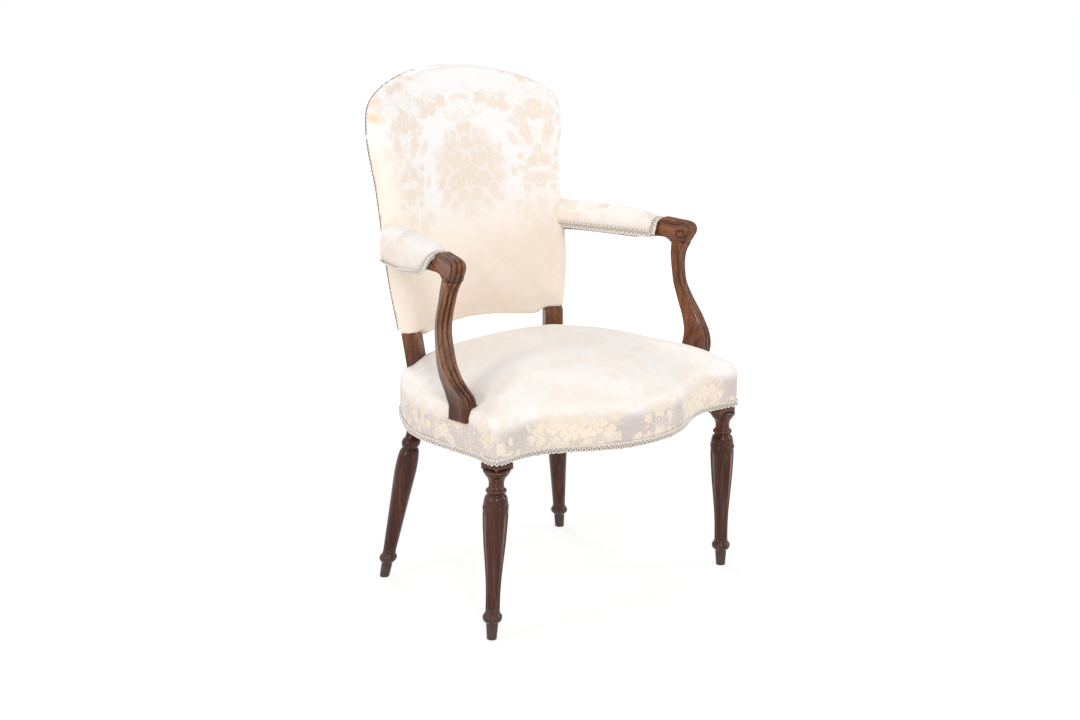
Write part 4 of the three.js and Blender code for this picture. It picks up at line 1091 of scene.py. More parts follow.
cloth_sag = 2.5
shares = (0.05, 0.2, 0.4, 0.6, 0.8, 0.93, 1)
dust_cloth = loft("dust_cloth", [cloth_ring(r, cloth_top) for r in shares]
                  + [cloth_ring(r, cloth_under) for r in reversed(shares)])
corners = []
for side in sides:
    for x, y, half in ((block_x, block_y, block_side / 2), (post_x, post_y, post_side / 2)):
        ring = [(side * x + a * (half + room_grow), y + b * (half + room_grow))
                for a, b in ((-1, -1), (1, -1), (1, 1), (-1, 1))]
        corners.append(loft("leg_corner", [[place(*p, z) for p in ring] for z in (300, 340)]))
cut(dust_cloth, *corners)
print("bottom cloth from", round(cloth_under, 1), "to", round(cloth_top, 1), "mm")

# %% [markdown]
# ## Finishes
# Colours are written as the hex codes that a paint chart or a screen gives. The render works in
# linear light, so one function turns them. A second small function adds a node, with its
# settings and with what feeds it, and every material below is made with those two.

# %% Colour and node helpers
def linear(code):
    parts = [int(code[i:i + 2], 16) / 255 for i in (1, 3, 5)]
    return (*[c / 12.92 if c <= 0.04045 else ((c + 0.055) / 1.055) ** 2.4 for c in parts], 1.0)


def node(tree, kind, feeds=None, **settings):
    """feeds: input name or number, and the number, hex colour or socket that it takes."""
    made = tree.nodes.new(kind if kind.startswith("NodeGroup") else "ShaderNode" + kind)
    for name, value in settings.items():
        setattr(made, name, value)
    for key, value in (feeds or {}).items():
        if isinstance(value, bpy.types.NodeSocket):
            tree.links.new(value, made.inputs[key])
        else:
            made.inputs[key].default_value = linear(value) if isinstance(value, str) else value
    return made


def new_material(name):
    material = bpy.data.materials.new(name)
    material.use_nodes = True
    material.node_tree.nodes.clear()
    return material, material.node_tree


def work_out(tree, made, rows, kind="Math"):
    """Adds a table of nodes of a kind that has operations. A row names its result and gives the
    operation and its inputs: numbers, or the names of results above it. A pair at the end of a
    row gives the least and the most that the result may be."""
    for name, operation, *values in rows:
        limits = values.pop() if isinstance(values[-1], tuple) else ()
        feeds = {i: made[v] if isinstance(v, str) else v for i, v in enumerate(values)}
        made[name] = node(tree, kind, feeds, operation=operation).outputs[0]
        for bound, limit in zip(("MAXIMUM", "MINIMUM"), limits):
            made[name] = node(tree, kind, {0: made[name], 1: limit}, operation=bound).outputs[0]
    return made


# %% [markdown]
# A damask shows its pattern by weave alone: the ground is satin and shines, the flowers are
# woven the other way and look matt and a little darker. The pattern is drawn here from two
# small stamps, a blossom and a leaf. Each is a node group that says, for a point of the cloth,
# whether it lies inside the stamp. A tile of the cloth is 336 mm wide and 300 mm tall, mirrored
# about its middle as loom patterns are, and it holds a bouquet between two leafy columns.

# %% Stamps for the damask
def stamp(name, inputs, rows):
    group = bpy.data.node_groups.new(name, "ShaderNodeTree")
    for label in inputs:
        group.interface.new_socket(label, in_out="INPUT", socket_type="NodeSocketFloat")
    group.interface.new_socket("mask", in_out="OUTPUT", socket_type="NodeSocketFloat")
    entry = node(group, "NodeGroupInput")
    made = work_out(group, {label: entry.outputs[label] for label in inputs}, rows)
    node(group, "NodeGroupOutput", {"mask": made["mask"]})
    return group


blossom = stamp("blossom", ["u", "v", "x", "y", "size", "petals", "turn"], [
    ("dx", "SUBTRACT", "u", "x"), ("dy", "SUBTRACT", "v", "y"),
    ("ex", "DIVIDE", "dx", "size"), ("ey", "DIVIDE", "dy", "size"),
    ("xx", "MULTIPLY", "ex", "ex"), ("rr", "MULTIPLY_ADD", "ey", "ey", "xx"),
    ("r", "SQRT", "rr"), ("bearing", "ARCTAN2", "dy", "dx"),
    ("around", "MULTIPLY_ADD", "bearing", "petals", "turn"), ("half", "MULTIPLY", "around", 0.5),
    ("wave", "COSINE", "half"), ("lobe", "ABSOLUTE", "wave"), ("full", "POWER", "lobe", 0.5),
    ("edge", "MULTIPLY_ADD", "full", 0.34, 0.66), ("room", "SUBTRACT", "edge", "r"),
    ("whole", "MULTIPLY", "room", 9, (0, 1)),
    ("between", "MULTIPLY_ADD", "lobe", 13, -0.9), ("heart", "MULTIPLY_ADD", "r", -16, 4.6),
    ("split", "MAXIMUM", "between", "heart", (0.25, 1)), ("off", "SUBTRACT", "r", 0.34),
    ("ring", "ABSOLUTE", "off"), ("ring1", "MULTIPLY_ADD", "ring", 26, -0.3, (0.3, 1)),
    ("petal", "MULTIPLY", "whole", "split"), ("mask", "MULTIPLY", "petal", "ring1")])

leaf = stamp("leaf", ["u", "v", "x", "y", "length", "width", "cosine", "sine"], [
    ("dx", "SUBTRACT", "u", "x"), ("dy", "SUBTRACT", "v", "y"),
    ("a", "MULTIPLY", "dx", "cosine"), ("b", "MULTIPLY_ADD", "dy", "sine", "a"),
    ("along", "DIVIDE", "b", "length"), ("c", "MULTIPLY", "dx", "sine"),
    ("d", "MULTIPLY", "dy", "cosine"), ("e", "SUBTRACT", "d", "c"), ("f", "DIVIDE", "e", "width"),
    ("side", "ABSOLUTE", "f"), ("rest", "SUBTRACT", 1, "along"),
    ("bow", "MULTIPLY", "along", "rest"), ("bow4", "MULTIPLY", "bow", 4),
    ("bow0", "MAXIMUM", "bow4", 0), ("belly", "POWER", "bow0", 0.7),
    ("beat", "MULTIPLY", "along", 20), ("beat1", "SINE", "beat"), ("teeth", "ABSOLUTE", "beat1"),
    ("cut", "MULTIPLY_ADD", "teeth", 0.3, 0.75), ("half", "MULTIPLY", "belly", "cut"),
    ("room", "SUBTRACT", "half", "side"), ("whole", "MULTIPLY", "room", 6, (0, 1)),
    ("vein", "MULTIPLY_ADD", "side", 12, -0.4, (0.1, 1)),
    ("slant", "MULTIPLY_ADD", "side", -7, "beat"), ("slant2", "MULTIPLY", "slant", 2),
    ("wave", "SINE", "slant2"), ("rib", "MULTIPLY_ADD", "wave", 1.6, 1.6, (0.35, 1)),
    ("blade", "MULTIPLY", "whole", "vein"), ("mask", "MULTIPLY", "blade", "rib")])

tile_width, tile_height = 336, 300
blossoms = [  # for each: across, up, size, petals, turn; millimetres from the bouquet's heart
    (0, 1.8, 27.5, 8, 0.3), (31.5, 22.5, 17.1, 5, 1), (36.9, -17.1, 19, 6, 0.2),
    (0, 52.2, 14.2, 5, 1.6), (18, -45, 15.2, 5, 2.2), (57.6, 5.4, 10.4, 5, 0.5),
    (18, 29.7, 10.4, 5, 0.6), (18, -21.6, 10.4, 5, 1.9), (54, 32.4, 11.4, 5, 2.4),
    (59.4, -36, 11.4, 5, 1.4), (8.1, 82.8, 10.4, 5, 0.2), (75.6, 12.6, 6.6, 5, 0.9),
    (70.2, -16.2, 7.6, 5, 0.1), (32.4, 55.8, 8.5, 5, 1.1), (39.6, -59.4, 8.5, 5, 0.4),
    (0, -73.8, 8.5, 5, 1), (168, 108, 23, 7, 0.4), (140, 66, 14, 5, 1.2), (134, -92, 15, 5, 0.1),
    (76.8, 124, 14, 5, 0.8), (46.4, 138, 10, 5, 0), (168, -30, 18, 6, 0.9), (98, 120, 12, 5, 1.1),
    (154, 10, 12, 5, 0.7), (156, -128, 14, 6, 0), (126, 20, 8, 5, 0.2), (138, -44, 9, 5, 1.3),
    (128, 100, 9, 5, 0.6), (116, -70, 8, 5, 0)]
leaves = [  # for each: across, up, length, width, angle in degrees
    (48.6, 11.7, 36.1, 8.5, 38), (54, -7.2, 34.2, 7.6, -8), (46.8, -34.2, 38, 8.5, -42),
    (13.5, 37.8, 39.9, 8.1, 62), (26.1, 39.6, 32.3, 7.6, 30), (3.6, -56.7, 36.1, 8.5, -74),
    (26.1, -54.9, 32.3, 7.6, -30), (7.2, 65.7, 26.6, 6.6, 70), (65.7, 15.3, 24.7, 6.2, 10),
    (62.1, -17.1, 26.6, 6.2, -16), (37.8, 41.4, 25.6, 6.6, 48), (39.6, -50.4, 26.6, 6.6, -60),
    (3.6, -39.6, 24.7, 6.6, -100), (20.7, 67.5, 22.8, 6.2, 40), (75.6, 30.6, 20.9, 5.7, 62),
    (72, -45, 20.9, 5.7, -70), (45, 59.4, 22.8, 5.7, 84), (158, -58, 54, 12, -72),
    (164, -6, 50, 12, 84), (154, 36, 42, 10, 108), (134, 74, 40, 10, 66), (148, -100, 40, 10, -60),
    (130, -98, 34, 9, -128), (124, 40, 38, 9, 128), (126, -30, 36, 9, 24), (84.8, 112, 34, 8, 6),
    (68.8, 128, 34, 8, 150), (90, 128, 30, 8, 30), (118, 2, 30, 8, -30), (140, -6, 34, 9, 60),
    (144, 88, 34, 9, 112), (152, -84, 34, 9, 40), (30.4, 128, 30, 8, 12), (25.6, 137, 28, 7, 168),
    (110, -64, 30, 8, -96), (108, 96, 28, 7, -40), (114, -20, 26, 7, 110), (144, -70, 28, 7, -150)]
print("damask:", len(blossoms), "blossoms and", len(leaves), "leaves in half a tile")

# %% [markdown]
# The cloth's own coordinates are kept on each padded piece as an attribute called weave:
# millimetres across and along the cloth as it was cut, so the pattern wraps round the borders as
# the real cloth does. Its third number is painted shade: it greys the satin ground on the borders
# and low parts, which get less light and less shine, and below 0 it says how faint the pattern is.
# A second attribute, warmth, says how far the silk has yellowed, and goes over 1 where it is
# stained.

# %% Ivory silk damask
def silk_damask():
    """Satin-woven silk: bright, smooth ground with a soft sheen, and duller woven flowers."""
    material, tree = new_material("ivory_silk_damask")
    weave = node(tree, "Attribute", attribute_name="weave").outputs["Vector"]
    warmth = node(tree, "Attribute", attribute_name="warmth").outputs["Fac"]
    apart = node(tree, "SeparateXYZ", {"Vector": weave})
    # the cloth was never pulled quite straight, so the pattern sways by a few millimetres
    drift = node(tree, "TexNoise", {"Vector": weave, "Scale": 0.06, "Detail": 2.0})
    sway = node(tree, "SeparateXYZ", {"Vector": drift.outputs["Color"]})
    curl = node(tree, "TexNoise", {"Vector": weave, "Scale": 0.1, "Detail": 1.0,
                                   "Distortion": 0.8}).outputs["Fac"]
    # thin curling tendrils fill the bouquet, the columns and a garland between them
    made = work_out(tree, {"a": apart.outputs[0], "b": apart.outputs[1], "p": sway.outputs[0],
                           "q": sway.outputs[1], "curl": curl}, [
        ("p1", "MULTIPLY_ADD", "p", 9, -4.5), ("q1", "MULTIPLY_ADD", "q", 9, -4.5),
        ("a1", "ADD", "a", "p1"), ("b1", "ADD", "b", "q1"),
        ("u", "PINGPONG", "a1", tile_width / 2),
        ("v", "WRAP", "b1", tile_height / 2, -tile_height / 2),
        ("u1", "MULTIPLY", "u", 1 / 92), ("u2", "MULTIPLY", "u1", "u1"),
        ("v1", "MULTIPLY", "v", 1 / 98), ("v2", "MULTIPLY_ADD", "v1", "v1", "u2"),
        ("bouquet", "SUBTRACT", 1, "v2"), ("c1", "SUBTRACT", tile_width / 2, "u"),
        ("column", "MULTIPLY_ADD", "c1", -1 / 50, 1), ("g1", "MULTIPLY", "u", 1 / 27),
        ("g2", "COSINE", "g1"), ("g3", "MULTIPLY_ADD", "g2", 13, -124), ("g4", "ADD", "v", "g3"),
        ("g5", "ABSOLUTE", "g4"), ("garland", "MULTIPLY_ADD", "g5", -1 / 24, 1),
        ("m1", "MAXIMUM", "bouquet", "column"), ("m2", "MAXIMUM", "m1", "garland"),
        ("field", "MULTIPLY", "m2", 3.5, (0, 1)),
        ("k1", "SUBTRACT", "curl", 0.5), ("k2", "ABSOLUTE", "k1"),
        ("k3", "MULTIPLY_ADD", "k2", -26, 1.35, (0, 1)), ("tendril", "MULTIPLY", "k3", "field"),
        ("d1", "MULTIPLY_ADD", "curl", 1.6, -0.95), ("d2", "ADD", "d1", "bouquet"),
        ("dense", "MULTIPLY", "d2", 5, (0, 0.34)),
        ("thread", "MULTIPLY", "tendril", 0.85), ("mask", "MAXIMUM", "thread", "dense")])
    turned = [(*row[:4], math.cos(math.radians(row[4])), math.sin(math.radians(row[4])))
              for row in leaves]
    for group, labels, table in ((blossom, ("x", "y", "size", "petals", "turn"), blossoms),
                                 (leaf, ("x", "y", "length", "width", "cosine", "sine"), turned)):
        for row in table:
            made["stamp"] = node(tree, "Group", {"u": made["u"], "v": made["v"],
                                                 **dict(zip(labels, row))},
                                 node_tree=group).outputs[0]
            work_out(tree, made, [("mask", "MAXIMUM", "mask", "stamp")])
    # slubs: 0.3 mm apart on the real cloth, drawn 1.1 mm apart so that they can show
    slub_place = node(tree, "VectorMath", {0: weave, 1: (0.07, 0.9, 0)}, operation="MULTIPLY")
    slub = node(tree, "TexNoise", {"Vector": slub_place.outputs[0], "Scale": 1.0,
                                   "Detail": 3.0}).outputs["Fac"]
    cloud = node(tree, "TexNoise", {"Vector": weave, "Scale": 0.018, "Detail": 3.0,
                                    "Roughness": 0.6}).outputs["Fac"]
    made.update(grey=apart.outputs[2], warm=warmth, slub=slub, cloud=cloud)
    work_out(tree, made, [
        ("warm1", "MINIMUM", "warm", 1), ("over", "SUBTRACT", "warm", 1),
        ("stain", "MAXIMUM", "over", 0), ("spread", "MULTIPLY_ADD", "cloud", 0.5, -0.25),
        # painted shade: the weave's third number greys the satin ground, with the cloud's random
        # tone added
        ("warm2", "ADD", "warm1", "spread"), ("grey2", "ADD", "grey", "spread"),
        ("fade", "MULTIPLY_ADD", "warm1", -0.75, 1.1), ("shown", "MULTIPLY", "mask", "fade"),
        ("calm", "ADD", "grey", 1), ("calm1", "MINIMUM", "calm", 1),
        ("motif", "MULTIPLY", "shown", "calm1"), ("slub1", "MULTIPLY_ADD", "slub", 0.1, 0.95),
        ("rough", "MULTIPLY_ADD", "mask", 0.22, 0.44),
        ("rough2", "MULTIPLY_ADD", "slub", 0.12, "rough")])
    # fresh, yellowed and greyed by painted shade, for the satin ground and for the flowers
    layers = []
    for name, fresh, warm, grey in (("ground", "#f6f4f4", "#f9ebdb", "#cfc2bd"),
                                    ("flower", "#eee0d1", "#f3e3d0", "#f3e3ce")):
        layers += [(name, "warm2", fresh, warm), (name, "grey2", name, grey)]
    layers += [("cloth", "motif", "ground", "flower"), ("cloth", "stain", "cloth", "#efc394")]
    for name, factor, low, high in layers:
        made[name] = node(tree, "Mix", {"Factor": made[factor], 6: made.get(low, low),
                                        7: made.get(high, high)}, data_type="RGBA").outputs[2]
    threads = node(tree, "Mix", {"Factor": 1.0, 6: made["cloth"], 7: made["slub1"]},
                   data_type="RGBA", blend_type="MULTIPLY")
    pulled = node(tree, "TexNoise", {"Vector": weave, "Scale": 0.045, "Detail": 2.0})
    soft = node(tree, "Bump", {"Height": pulled.outputs["Fac"], "Strength": 0.25,
                               "Distance": 0.0012})
    bump = node(tree, "Bump", {"Height": slub, "Strength": 0.25, "Distance": 0.0002,
                               "Normal": soft.outputs[0]})
    shader = node(tree, "BsdfPrincipled", {
        "Base Color": threads.outputs[2], "Roughness": made["rough2"], "IOR": 1.45,
        "Sheen Weight": 0.25, "Sheen Roughness": 0.35, "Normal": bump.outputs[0]})
    node(tree, "OutputMaterial", {"Surface": shader.outputs[0]})
    return material


silk = silk_damask()
print("silk damask nodes", len(silk.node_tree.nodes))

# %% Cloth coordinates
def chair_points(obj):
    """A mesh's points in millimetres, with depth counted as in the tables above."""
    return mesh_points(obj) / MM - (0, DEPTH_SHIFT, 0)


def paint_cloth(obj, weave, warmth):
    for name, kind, field, values in (("weave", "FLOAT_VECTOR", "vector", weave),
                                      ("warmth", "FLOAT", "value", warmth)):
        layer = obj.data.attributes.new(name, kind, "POINT")
        layer.data.foreach_set(field, np.ascontiguousarray(values, np.float32).ravel())
    print(obj.name, "cloth spans", [round(float(v)) for v in weave[:, :2].min(0)],
          [round(float(v)) for v in weave[:, :2].max(0)], "mm")


points = chair_points(seat)
loop = seat_outline(200)
out = outward(loop)[nearest(points[:, :2], loop)]
front = eased(0.2, 0.9, -out[:, 1])
straight = eased(0.6, 0.85, -out[:, 1])
pulled = np.column_stack([out[:, 0] * (1 - straight), out[:, 1]])
pulled /= np.linalg.norm(pulled, axis=1)[:, None]
drop = np.maximum(0, roll_height - points[:, 2])
pattern_start = (150, 83)  # where the upholsterer laid the tile on the seat
flat = points[:, :2] + pulled * drop[:, None] + pattern_start
# painted shade: the border below the roll greys; on the top the number is below 0 and only makes
# the pattern fainter
grey = eased(0, 34, drop) * 1.45 - 0.5
paint_cloth(seat, np.column_stack([flat, grey]),
            0.36 - (0.31 - 0.2 * (1 - front)) * eased(0, 30, drop))


# %% Cloth on the back and the pads
def along_hollow(x, z):
    """Arc length across the hollow back."""
    reach = back_foot_half + (back_half - back_foot_half) * np.minimum(
        (z - back_bottom) / (back_height * 0.702), 1)
    pull = 2 * back_bow / reach ** 2
    return (x * np.sqrt(1 + (pull * x) ** 2) + np.arcsinh(pull * x) / pull) / 2


def paint_back(obj, wraps):
    """wraps is 1 where the cloth goes on round the edge, and 0 for a flat panel."""
    x, _, z = chair_points(obj).T
    deep = wraps * np.array([max(0, depth_at(v.co) - 2) for v in obj.data.vertices])
    loop = back_outline(200)
    out = outward(loop)[nearest(np.column_stack([x, z]), loop)]
    # the third number is painted shade, greyer towards the bottom of the back
    weave = np.column_stack([along_hollow(x, z) + out[:, 0] * deep,
                             z * 1.009 + out[:, 1] * deep - 755, 0.14 * eased(640, 470, z)])
    warmth = np.minimum(1, 0.1 + 0.85 * eased(745, 600, z)
                        + 0.7 * eased(-0.72, -0.98, x / 226) * eased(860, 760, z))
    for sx, sz, size, strength in ((-223, 904, 8, 1.0), (-231, 866, 5, 0.7)):  # the two stains
        spot = np.exp(-((x - sx) ** 2 + (z - sz) ** 2) / (2 * size ** 2))
        warmth = np.where(spot > 0.05, np.maximum(warmth, 1 + strength * spot - 0.05), warmth)
    paint_cloth(obj, weave, warmth)


paint_back(stuffed_back, 1.0)
paint_back(outside_back, 0.0)
for side, pad in pads.items():
    points = chair_points(pad)
    away = points[:, :2] * (side, 1) - arm_rear
    run = away @ np.array(arm_along)
    aside = away @ np.array([-arm_along[1], arm_along[0]])
    # the third number is painted shade, greyer down the pad's sides
    weave = np.column_stack([60 + aside * (1 + (pad_top - points[:, 2]) / 25), 40 + run,
                             0.25 * eased(668, 636, points[:, 2])])
    paint_cloth(pad, weave, 0.25 + 0.2 * eased(668, 640, points[:, 2]))

# %% [markdown]
# Cuban mahogany darkens for two centuries under wax and handling. The grain runs along each
# stick as fine dark pores and broad reddish bands. The grooves go nearly black: wax and dirt stay
# in them, and painted shade darkens them where the surface is closed in. The arms and supports
# are rubbed to a warmer brown where hands touch them, and the feet are scuffed and grey. Polish
# gives a thin clear coat, so the reeds catch the light.

# %% Polished mahogany
def mahogany(name, lean):
    """Waxed mahogany with its grain along z, or along a line that lean turns to z."""
    material, tree = new_material(name)
    made = {"place": node(tree, "TexCoord").outputs["Object"]}
    turned = node(tree, "Mapping", {"Vector": made["place"], "Rotation": lean}).outputs[0]
    # bands about 9 mm wide and 120 mm long, pores about 1 mm wide and 25 mm long
    for grain, scale, more in (("band", (110, 110, 8), {"Detail": 4.0, "Roughness": 0.6,
                                                        "Distortion": 0.6}),
                               ("pore", (900, 900, 36), {"Detail": 2.0})):
        spot = node(tree, "Mapping", {"Vector": turned, "Scale": scale}).outputs[0]
        made[grain] = node(tree, "TexNoise", {"Vector": spot, "Scale": 1.0, **more}).outputs["Fac"]
    wood = node(tree, "ValToRGB", {"Fac": made["band"]})
    stops = wood.color_ramp.elements
    stops[0].position, stops[1].position = 0.27, 0.8
    stops[0].color, stops[1].color = linear("#29130b"), linear("#7d462b")
    stops.new(0.5).color = linear("#4a2313")
    made["edge"] = node(tree, "NewGeometry").outputs["Pointiness"]
    made["shade"] = node(tree, "AmbientOcclusion", {"Distance": 0.011}, samples=6,
                         only_local=True).outputs["AO"]
    made["height"] = node(tree, "SeparateXYZ", {"Vector": made["place"]}).outputs[2]
    made["scuff"] = node(tree, "TexNoise", {"Vector": made["place"], "Scale": 70.0,
                                            "Detail": 4.0}).outputs["Fac"]
    work_out(tree, made, [
        ("in_pores", "MULTIPLY_ADD", "pore", -5, 2.35, (0, 0.65)),
        ("on_edges", "MULTIPLY_ADD", "edge", 9, -4.75, (0, 0.4)),
        # painted shade: where the AO finds the surface closed in, the grooves go nearly black, over
        # the wax and dirt that sit there
        ("in_grooves", "MULTIPLY_ADD", "shade", -3.6, 3.15, (0, 0.92)),
        ("low", "MULTIPLY_ADD", "height", -14, 1.1), ("low1", "MULTIPLY_ADD", "scuff", 0.8, "low"),
        ("on_feet", "SUBTRACT", "low1", 0.55, (0, 0.75)),
        ("high", "MULTIPLY_ADD", "height", 12, -4.7, (0, 1)),
        ("rubbed", "MULTIPLY_ADD", "band", 1.3, -0.25, (0.12, 0.5)),
        ("on_arms", "MULTIPLY", "high", "rubbed"), ("matt", "MULTIPLY_ADD", "scuff", 0.3, 0.17),
        ("rough", "MULTIPLY_ADD", "on_feet", 0.3, "matt")])
    colour = wood.outputs[0]
    # the last mix, to #120b09, is painted shade in the grooves together with their dirt
    for factor, tone in (("on_arms", "#a86c42"), ("in_pores", "#1c0e0b"), ("on_edges", "#8a5638"),
                         ("on_feet", "#4a403b"), ("in_grooves", "#120b09")):
        colour = node(tree, "Mix", {"Factor": made[factor], 6: colour, 7: tone},
                      data_type="RGBA").outputs[2]
    grain = node(tree, "Bump", {"Height": made["pore"], "Strength": 0.3, "Distance": 0.0002})
    waves = node(tree, "Bump", {"Height": made["band"], "Strength": 0.2, "Distance": 0.0004,
                                "Normal": grain.outputs[0]})
    shader = node(tree, "BsdfPrincipled", {
        "Base Color": colour, "Roughness": made["rough"], "IOR": 1.5, "Specular IOR Level": 0.1,
        "Coat Weight": 0.42, "Coat Roughness": 0.1, "Normal": waves.outputs[0]})
    node(tree, "OutputMaterial", {"Surface": shader.outputs[0]})
    return material


upright_wood = mahogany("waxed_mahogany_upright", (0, 0, 0))
arm_wood = {side: mahogany("waxed_mahogany_arm_" + label, (math.pi / 2, 0, side * arm_yaw))
            for side, label in sides.items()}
print("mahogany nodes", len(upright_wood.node_tree.nodes))

# %% [markdown]
# The gimp is cotton and silk cord, off-white and fluffy, with painted shade deep between its
# loops. The cloths and woods inside the chair hardly show, but they get their own finishes too,
# because another maker may open the chair up.

# %% Gimp, beech, webbing, hessian, horsehair, calico and steel
def plain(name, tones, stretch, bump_mm, rough, metallic=0.0, painted_shade_and_gap_tone=None, weave_mm=None,
          sheen=0.0):
    """A finish from two tones mixed by a stretched noise, and a weave where it is cloth. Without a
    weave, the given crevice tone is painted shade, laid in by ambient occlusion.
    """
    material, tree = new_material(name)
    place_in = node(tree, "TexCoord").outputs["Object"]
    spread = node(tree, "Mapping", {"Vector": place_in, "Scale": stretch})
    noise = node(tree, "TexNoise", {"Vector": spread.outputs[0], "Scale": 1.0, "Detail": 4.0,
                                    "Roughness": 0.6}).outputs["Fac"]
    made = work_out(tree, {"noise": noise}, [("rough", "MULTIPLY_ADD", "noise", 0.2, rough - 0.1)])
    height = noise
    colour = node(tree, "Mix", {"Factor": noise, 6: tones[0], 7: tones[1]},
                  data_type="RGBA").outputs[2]
    shown = None
    if weave_mm:
        made.update(zip("xyz", node(tree, "SeparateXYZ", {"Vector": place_in}).outputs))
        rows = []
        for axis in "xyz":
            rows += [(axis + "1", "MULTIPLY", axis, math.pi / (weave_mm * MM)),
                     (axis + "2", "SINE", axis + "1"), (axis + "3", "ABSOLUTE", axis + "2")]
        work_out(tree, made, rows + [
            ("xy", "MULTIPLY", "x3", "y3"), ("yz", "MULTIPLY", "z3", "x3"),
            ("both", "MAXIMUM", "xy", "yz"), ("thread", "MULTIPLY_ADD", "both", 0.5, "noise")])
        height, shown = made["thread"], made["both"]
    # painted shade: without a weave, the tone darkens the surface where the AO finds it closed in
    elif painted_shade_and_gap_tone:
        shown = node(tree, "AmbientOcclusion", {"Distance": 0.004}, samples=6).outputs["AO"]
    if shown is not None:
        colour = node(tree, "Mix", {"Factor": shown, 6: painted_shade_and_gap_tone, 7: colour},
                      data_type="RGBA").outputs[2]
    bump = node(tree, "Bump", {"Height": height, "Strength": 0.6, "Distance": bump_mm * MM})
    shader = node(tree, "BsdfPrincipled", {
        "Base Color": colour, "Roughness": made["rough"], "Metallic": metallic,
        "Sheen Weight": sheen, "Normal": bump.outputs[0]})
    node(tree, "OutputMaterial", {"Surface": shader.outputs[0]})
    return material


finishes = {
    # loops of soft cord, fibres about 0.8 mm, with painted shade in the crevices between them
    "gimp": plain("woven_gimp_painted_shade", ("#ddd2c5", "#f8f3ec"), (1200, 1200, 1200), 0.3, 0.85,
                  painted_shade_and_gap_tone="#65554a", sheen=0.3),
    # the woven tape under the loops, its tones painted dark as the shade between the loops, and
    # darker still in its crevices by painted shade
    "gimp_tape_painted_shade": plain("gimp_tape_painted_shade", ("#9c8d80", "#bfb2a5"), (1200, 1200, 1200), 0.2, 0.9,
                         painted_shade_and_gap_tone="#4f4238"),
    # waxed linen thread, painted dark brown to give the shadow line along the back's rear edge, and
    # darker in its crevices by painted shade
    "thread": plain("linen_thread_painted_shade", ("#8d7c6c", "#b3a291"), (1500, 1500, 1500), 0.1, 0.8,
                    painted_shade_and_gap_tone="#5b4c40"),
    # bare beech: pale, with short darker flecks 2 mm wide
    "beech": plain("bare_beech", ("#b28a5c", "#d2ac7c"), (40, 400, 400), 0.1, 0.62),
    # jute strap, threads 2 mm apart
    "webbing": plain("jute_webbing", ("#a08a64", "#c2ab80"), (300, 300, 300), 0.3, 0.9,
                     painted_shade_and_gap_tone="#6d5b3f", weave_mm=2.0),
    # open sacking, threads 1.6 mm apart
    "hessian": plain("hessian_sacking", ("#9b8059", "#bb9f74"), (300, 300, 300), 0.3, 0.92,
                     painted_shade_and_gap_tone="#5d4a31", weave_mm=1.6),
    # curled hair, matted, darker in its crevices by painted shade
    "horsehair": plain("matted_horsehair_painted_shade", ("#1a1512", "#463b34"), (500, 500, 1500), 1.0, 0.7,
                       painted_shade_and_gap_tone="#0d0a09"),
    # plain cotton, threads 0.5 mm apart, drawn at 1 mm so that they can show
    "calico": plain("unbleached_calico", ("#cdc3b2", "#e2dacb"), (90, 90, 90), 0.15, 0.88,
                    painted_shade_and_gap_tone="#b5aa98", weave_mm=1.0),
    # wood screws: drawn steel, gone dull
    "steel": plain("dull_steel", ("#7d7f83", "#a2a4a8"), (900, 900, 90), 0.03, 0.38, metallic=1.0),
    "mahogany": upright_wood, "silk": silk,
}


def dress(obj, material):
    obj.data.materials.clear()
    obj.data.materials.append(material)


slot_of = {row["node"]: row["material_slot"] for row in frame["record"]["subparts"]}
for name, obj in nodes.items():
    dress(obj, finishes[slot_of[name]])
print("dressed nodes", len(slot_of))

# %% [markdown]
# Every new piece now gets its finish, rides with the chair's one body and hides the imported
# nodes that it stands for.

# %% Pieces, bodies and what they replace
def take(obj, slot, material, *stands_for):
    dress(obj, material)
    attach(obj, "root")
    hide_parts(*stands_for)


for side, label in sides.items():
    take(front_legs[side], "mahogany", upright_wood, "front_leg_" + label)
    take(back_posts[side], "mahogany", upright_wood, "back_post_" + label)
    take(supports[side], "mahogany", upright_wood, "arm_support_" + label)
    take(arms[side], "mahogany", arm_wood[side], "arm_rail_" + label)
    take(pads[side], "silk", silk, "arm_pad_cover_" + label, "arm_pad_stuffing_" + label)
    take(arm_gimps[side], "gimp", finishes["gimp"], "arm_gimp_" + label)
take(seat, "silk", silk, "seat_cover", "seat_stuffing")
take(stuffed_back, "silk", silk, "back_front_cover", "back_stuffing")
take(outside_back, "silk", silk, "back_rear_cover")
take(seat_gimp, "gimp", finishes["gimp"], "seat_gimp")
dress(back_seam, finishes["thread"])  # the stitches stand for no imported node
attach(back_seam, "root")
take(dust_cloth, "calico", finishes["calico"], "bottom_cloth")
for gimp in (seat_gimp, *arm_gimps.values()):
    gimp.data.materials.append(finishes["gimp_tape_painted_shade"])
    for face in gimp.data.polygons[tape_starts[gimp.name]:]:
        face.material_index = 1

# %% [markdown]
# The studio is a white floor under a white sky. Two tall, narrow lamps stand in front and at the
# side, both to the left, so that reeds and rounds carry thin bright lines. A third fills from the
# right, and one behind gives the wood a thin rim. The lamps and the sky together light a white
# card to about white and no more. What the camera, a mirror or glass sees of the floor and sky
# is plain white, and the floor keeps a faint shadow of the chair.

# %% Lights
def lamp(name, spot, target, size, watts):
    bpy.ops.object.light_add(type="AREA", location=spot)
    light = bpy.context.object
    light.name, light.data.shape, light.data.energy = name, "RECTANGLE", watts
    light.data.size, light.data.size_y = size
    aim = Vector(target) - Vector(spot)
    light.rotation_euler = aim.to_track_quat("-Z", "Y").to_euler()


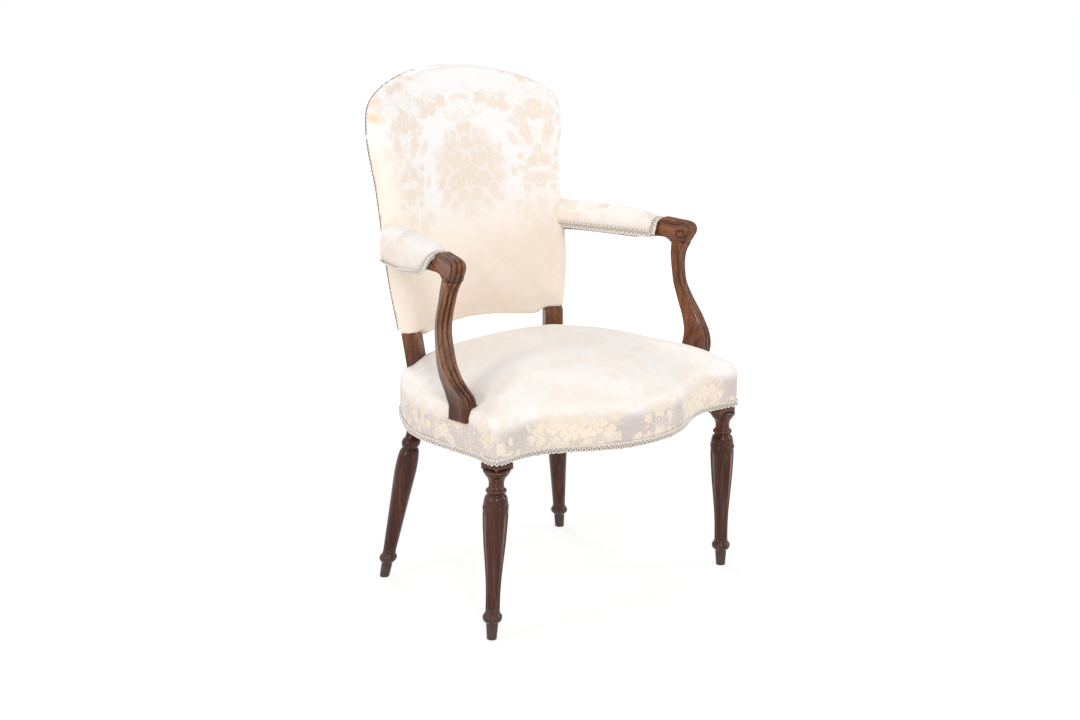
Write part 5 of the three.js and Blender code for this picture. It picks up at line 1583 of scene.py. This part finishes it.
lamp("key_softbox", (-1.9, -2.7, 2.3), (0, 0, 0.5), (0.45, 1.7), 35)
lamp("side_softbox", (-3.0, 0.1, 1.7), (0, 0, 0.5), (0.45, 1.7), 20)
lamp("fill_softbox", (2.5, -2.0, 1.7), (0, 0, 0.5), (0.45, 1.7), 22)
lamp("rear_softbox", (0.8, 2.6, 2.2), (0, 0, 0.6), (1.2, 1.0), 24)


def seen_directly(tree):
    """1 for what the camera, a mirror or glass sees, and 0 for light on its way to the chair."""
    ray = node(tree, "LightPath").outputs
    return work_out(tree, {"camera": ray["Is Camera Ray"], "gloss": ray["Is Glossy Ray"],
                           "glass": ray["Is Transmission Ray"]}, [
        ("either", "MAXIMUM", "camera", "glass"), ("any", "MAXIMUM", "either", "gloss")])["any"]


world = bpy.data.worlds.new("pale_sky")
bpy.context.scene.world = world
world.use_nodes = True
sky = world.node_tree
sky.nodes.clear()
soft_sky, white_sky = (node(sky, "Background", {"Color": "#ffffff", "Strength": strength})
                       for strength in (0.66, 1.0))
both = node(sky, "MixShader", {0: seen_directly(sky), 1: soft_sky.outputs[0],
                               2: white_sky.outputs[0]})
node(sky, "OutputWorld", {"Surface": both.outputs[0]})

# %% Floor
choose()
bpy.ops.mesh.primitive_grid_add(x_subdivisions=8, y_subdivisions=8, size=14)
floor = bpy.context.object
floor.name = "studio_floor"
paper, tree = new_material("white_paper_floor")
where = node(tree, "TexCoord").outputs["Object"]
reach = node(tree, "VectorMath", {0: where}, operation="LENGTH").outputs["Value"]
# near the chair the floor's painted glow is weaker, so that the chair's shadow shows there, and far
# from it the glow makes it plain white
made = work_out(tree, {"reach": reach}, [("far", "MULTIPLY_ADD", "reach", 1.2, -0.9, (0, 1)),
                                         ("glow", "MULTIPLY_ADD", "far", 0.22, 0.78)])
matt = node(tree, "BsdfDiffuse", {"Color": "#f4f4f4"})
dim = node(tree, "BsdfDiffuse", {"Color": "#8a8a8a"})
shine = node(tree, "Emission", {"Color": "#ffffff", "Strength": made["glow"]})
lit = node(tree, "AddShader", {0: dim.outputs[0], 1: shine.outputs[0]})
floor_mix = node(tree, "MixShader", {0: seen_directly(tree), 1: matt.outputs[0],
                                     2: lit.outputs[0]})
node(tree, "OutputMaterial", {"Surface": floor_mix.outputs[0]})
dress(floor, paper)
bpy.context.scene.view_settings.view_transform = "Standard"
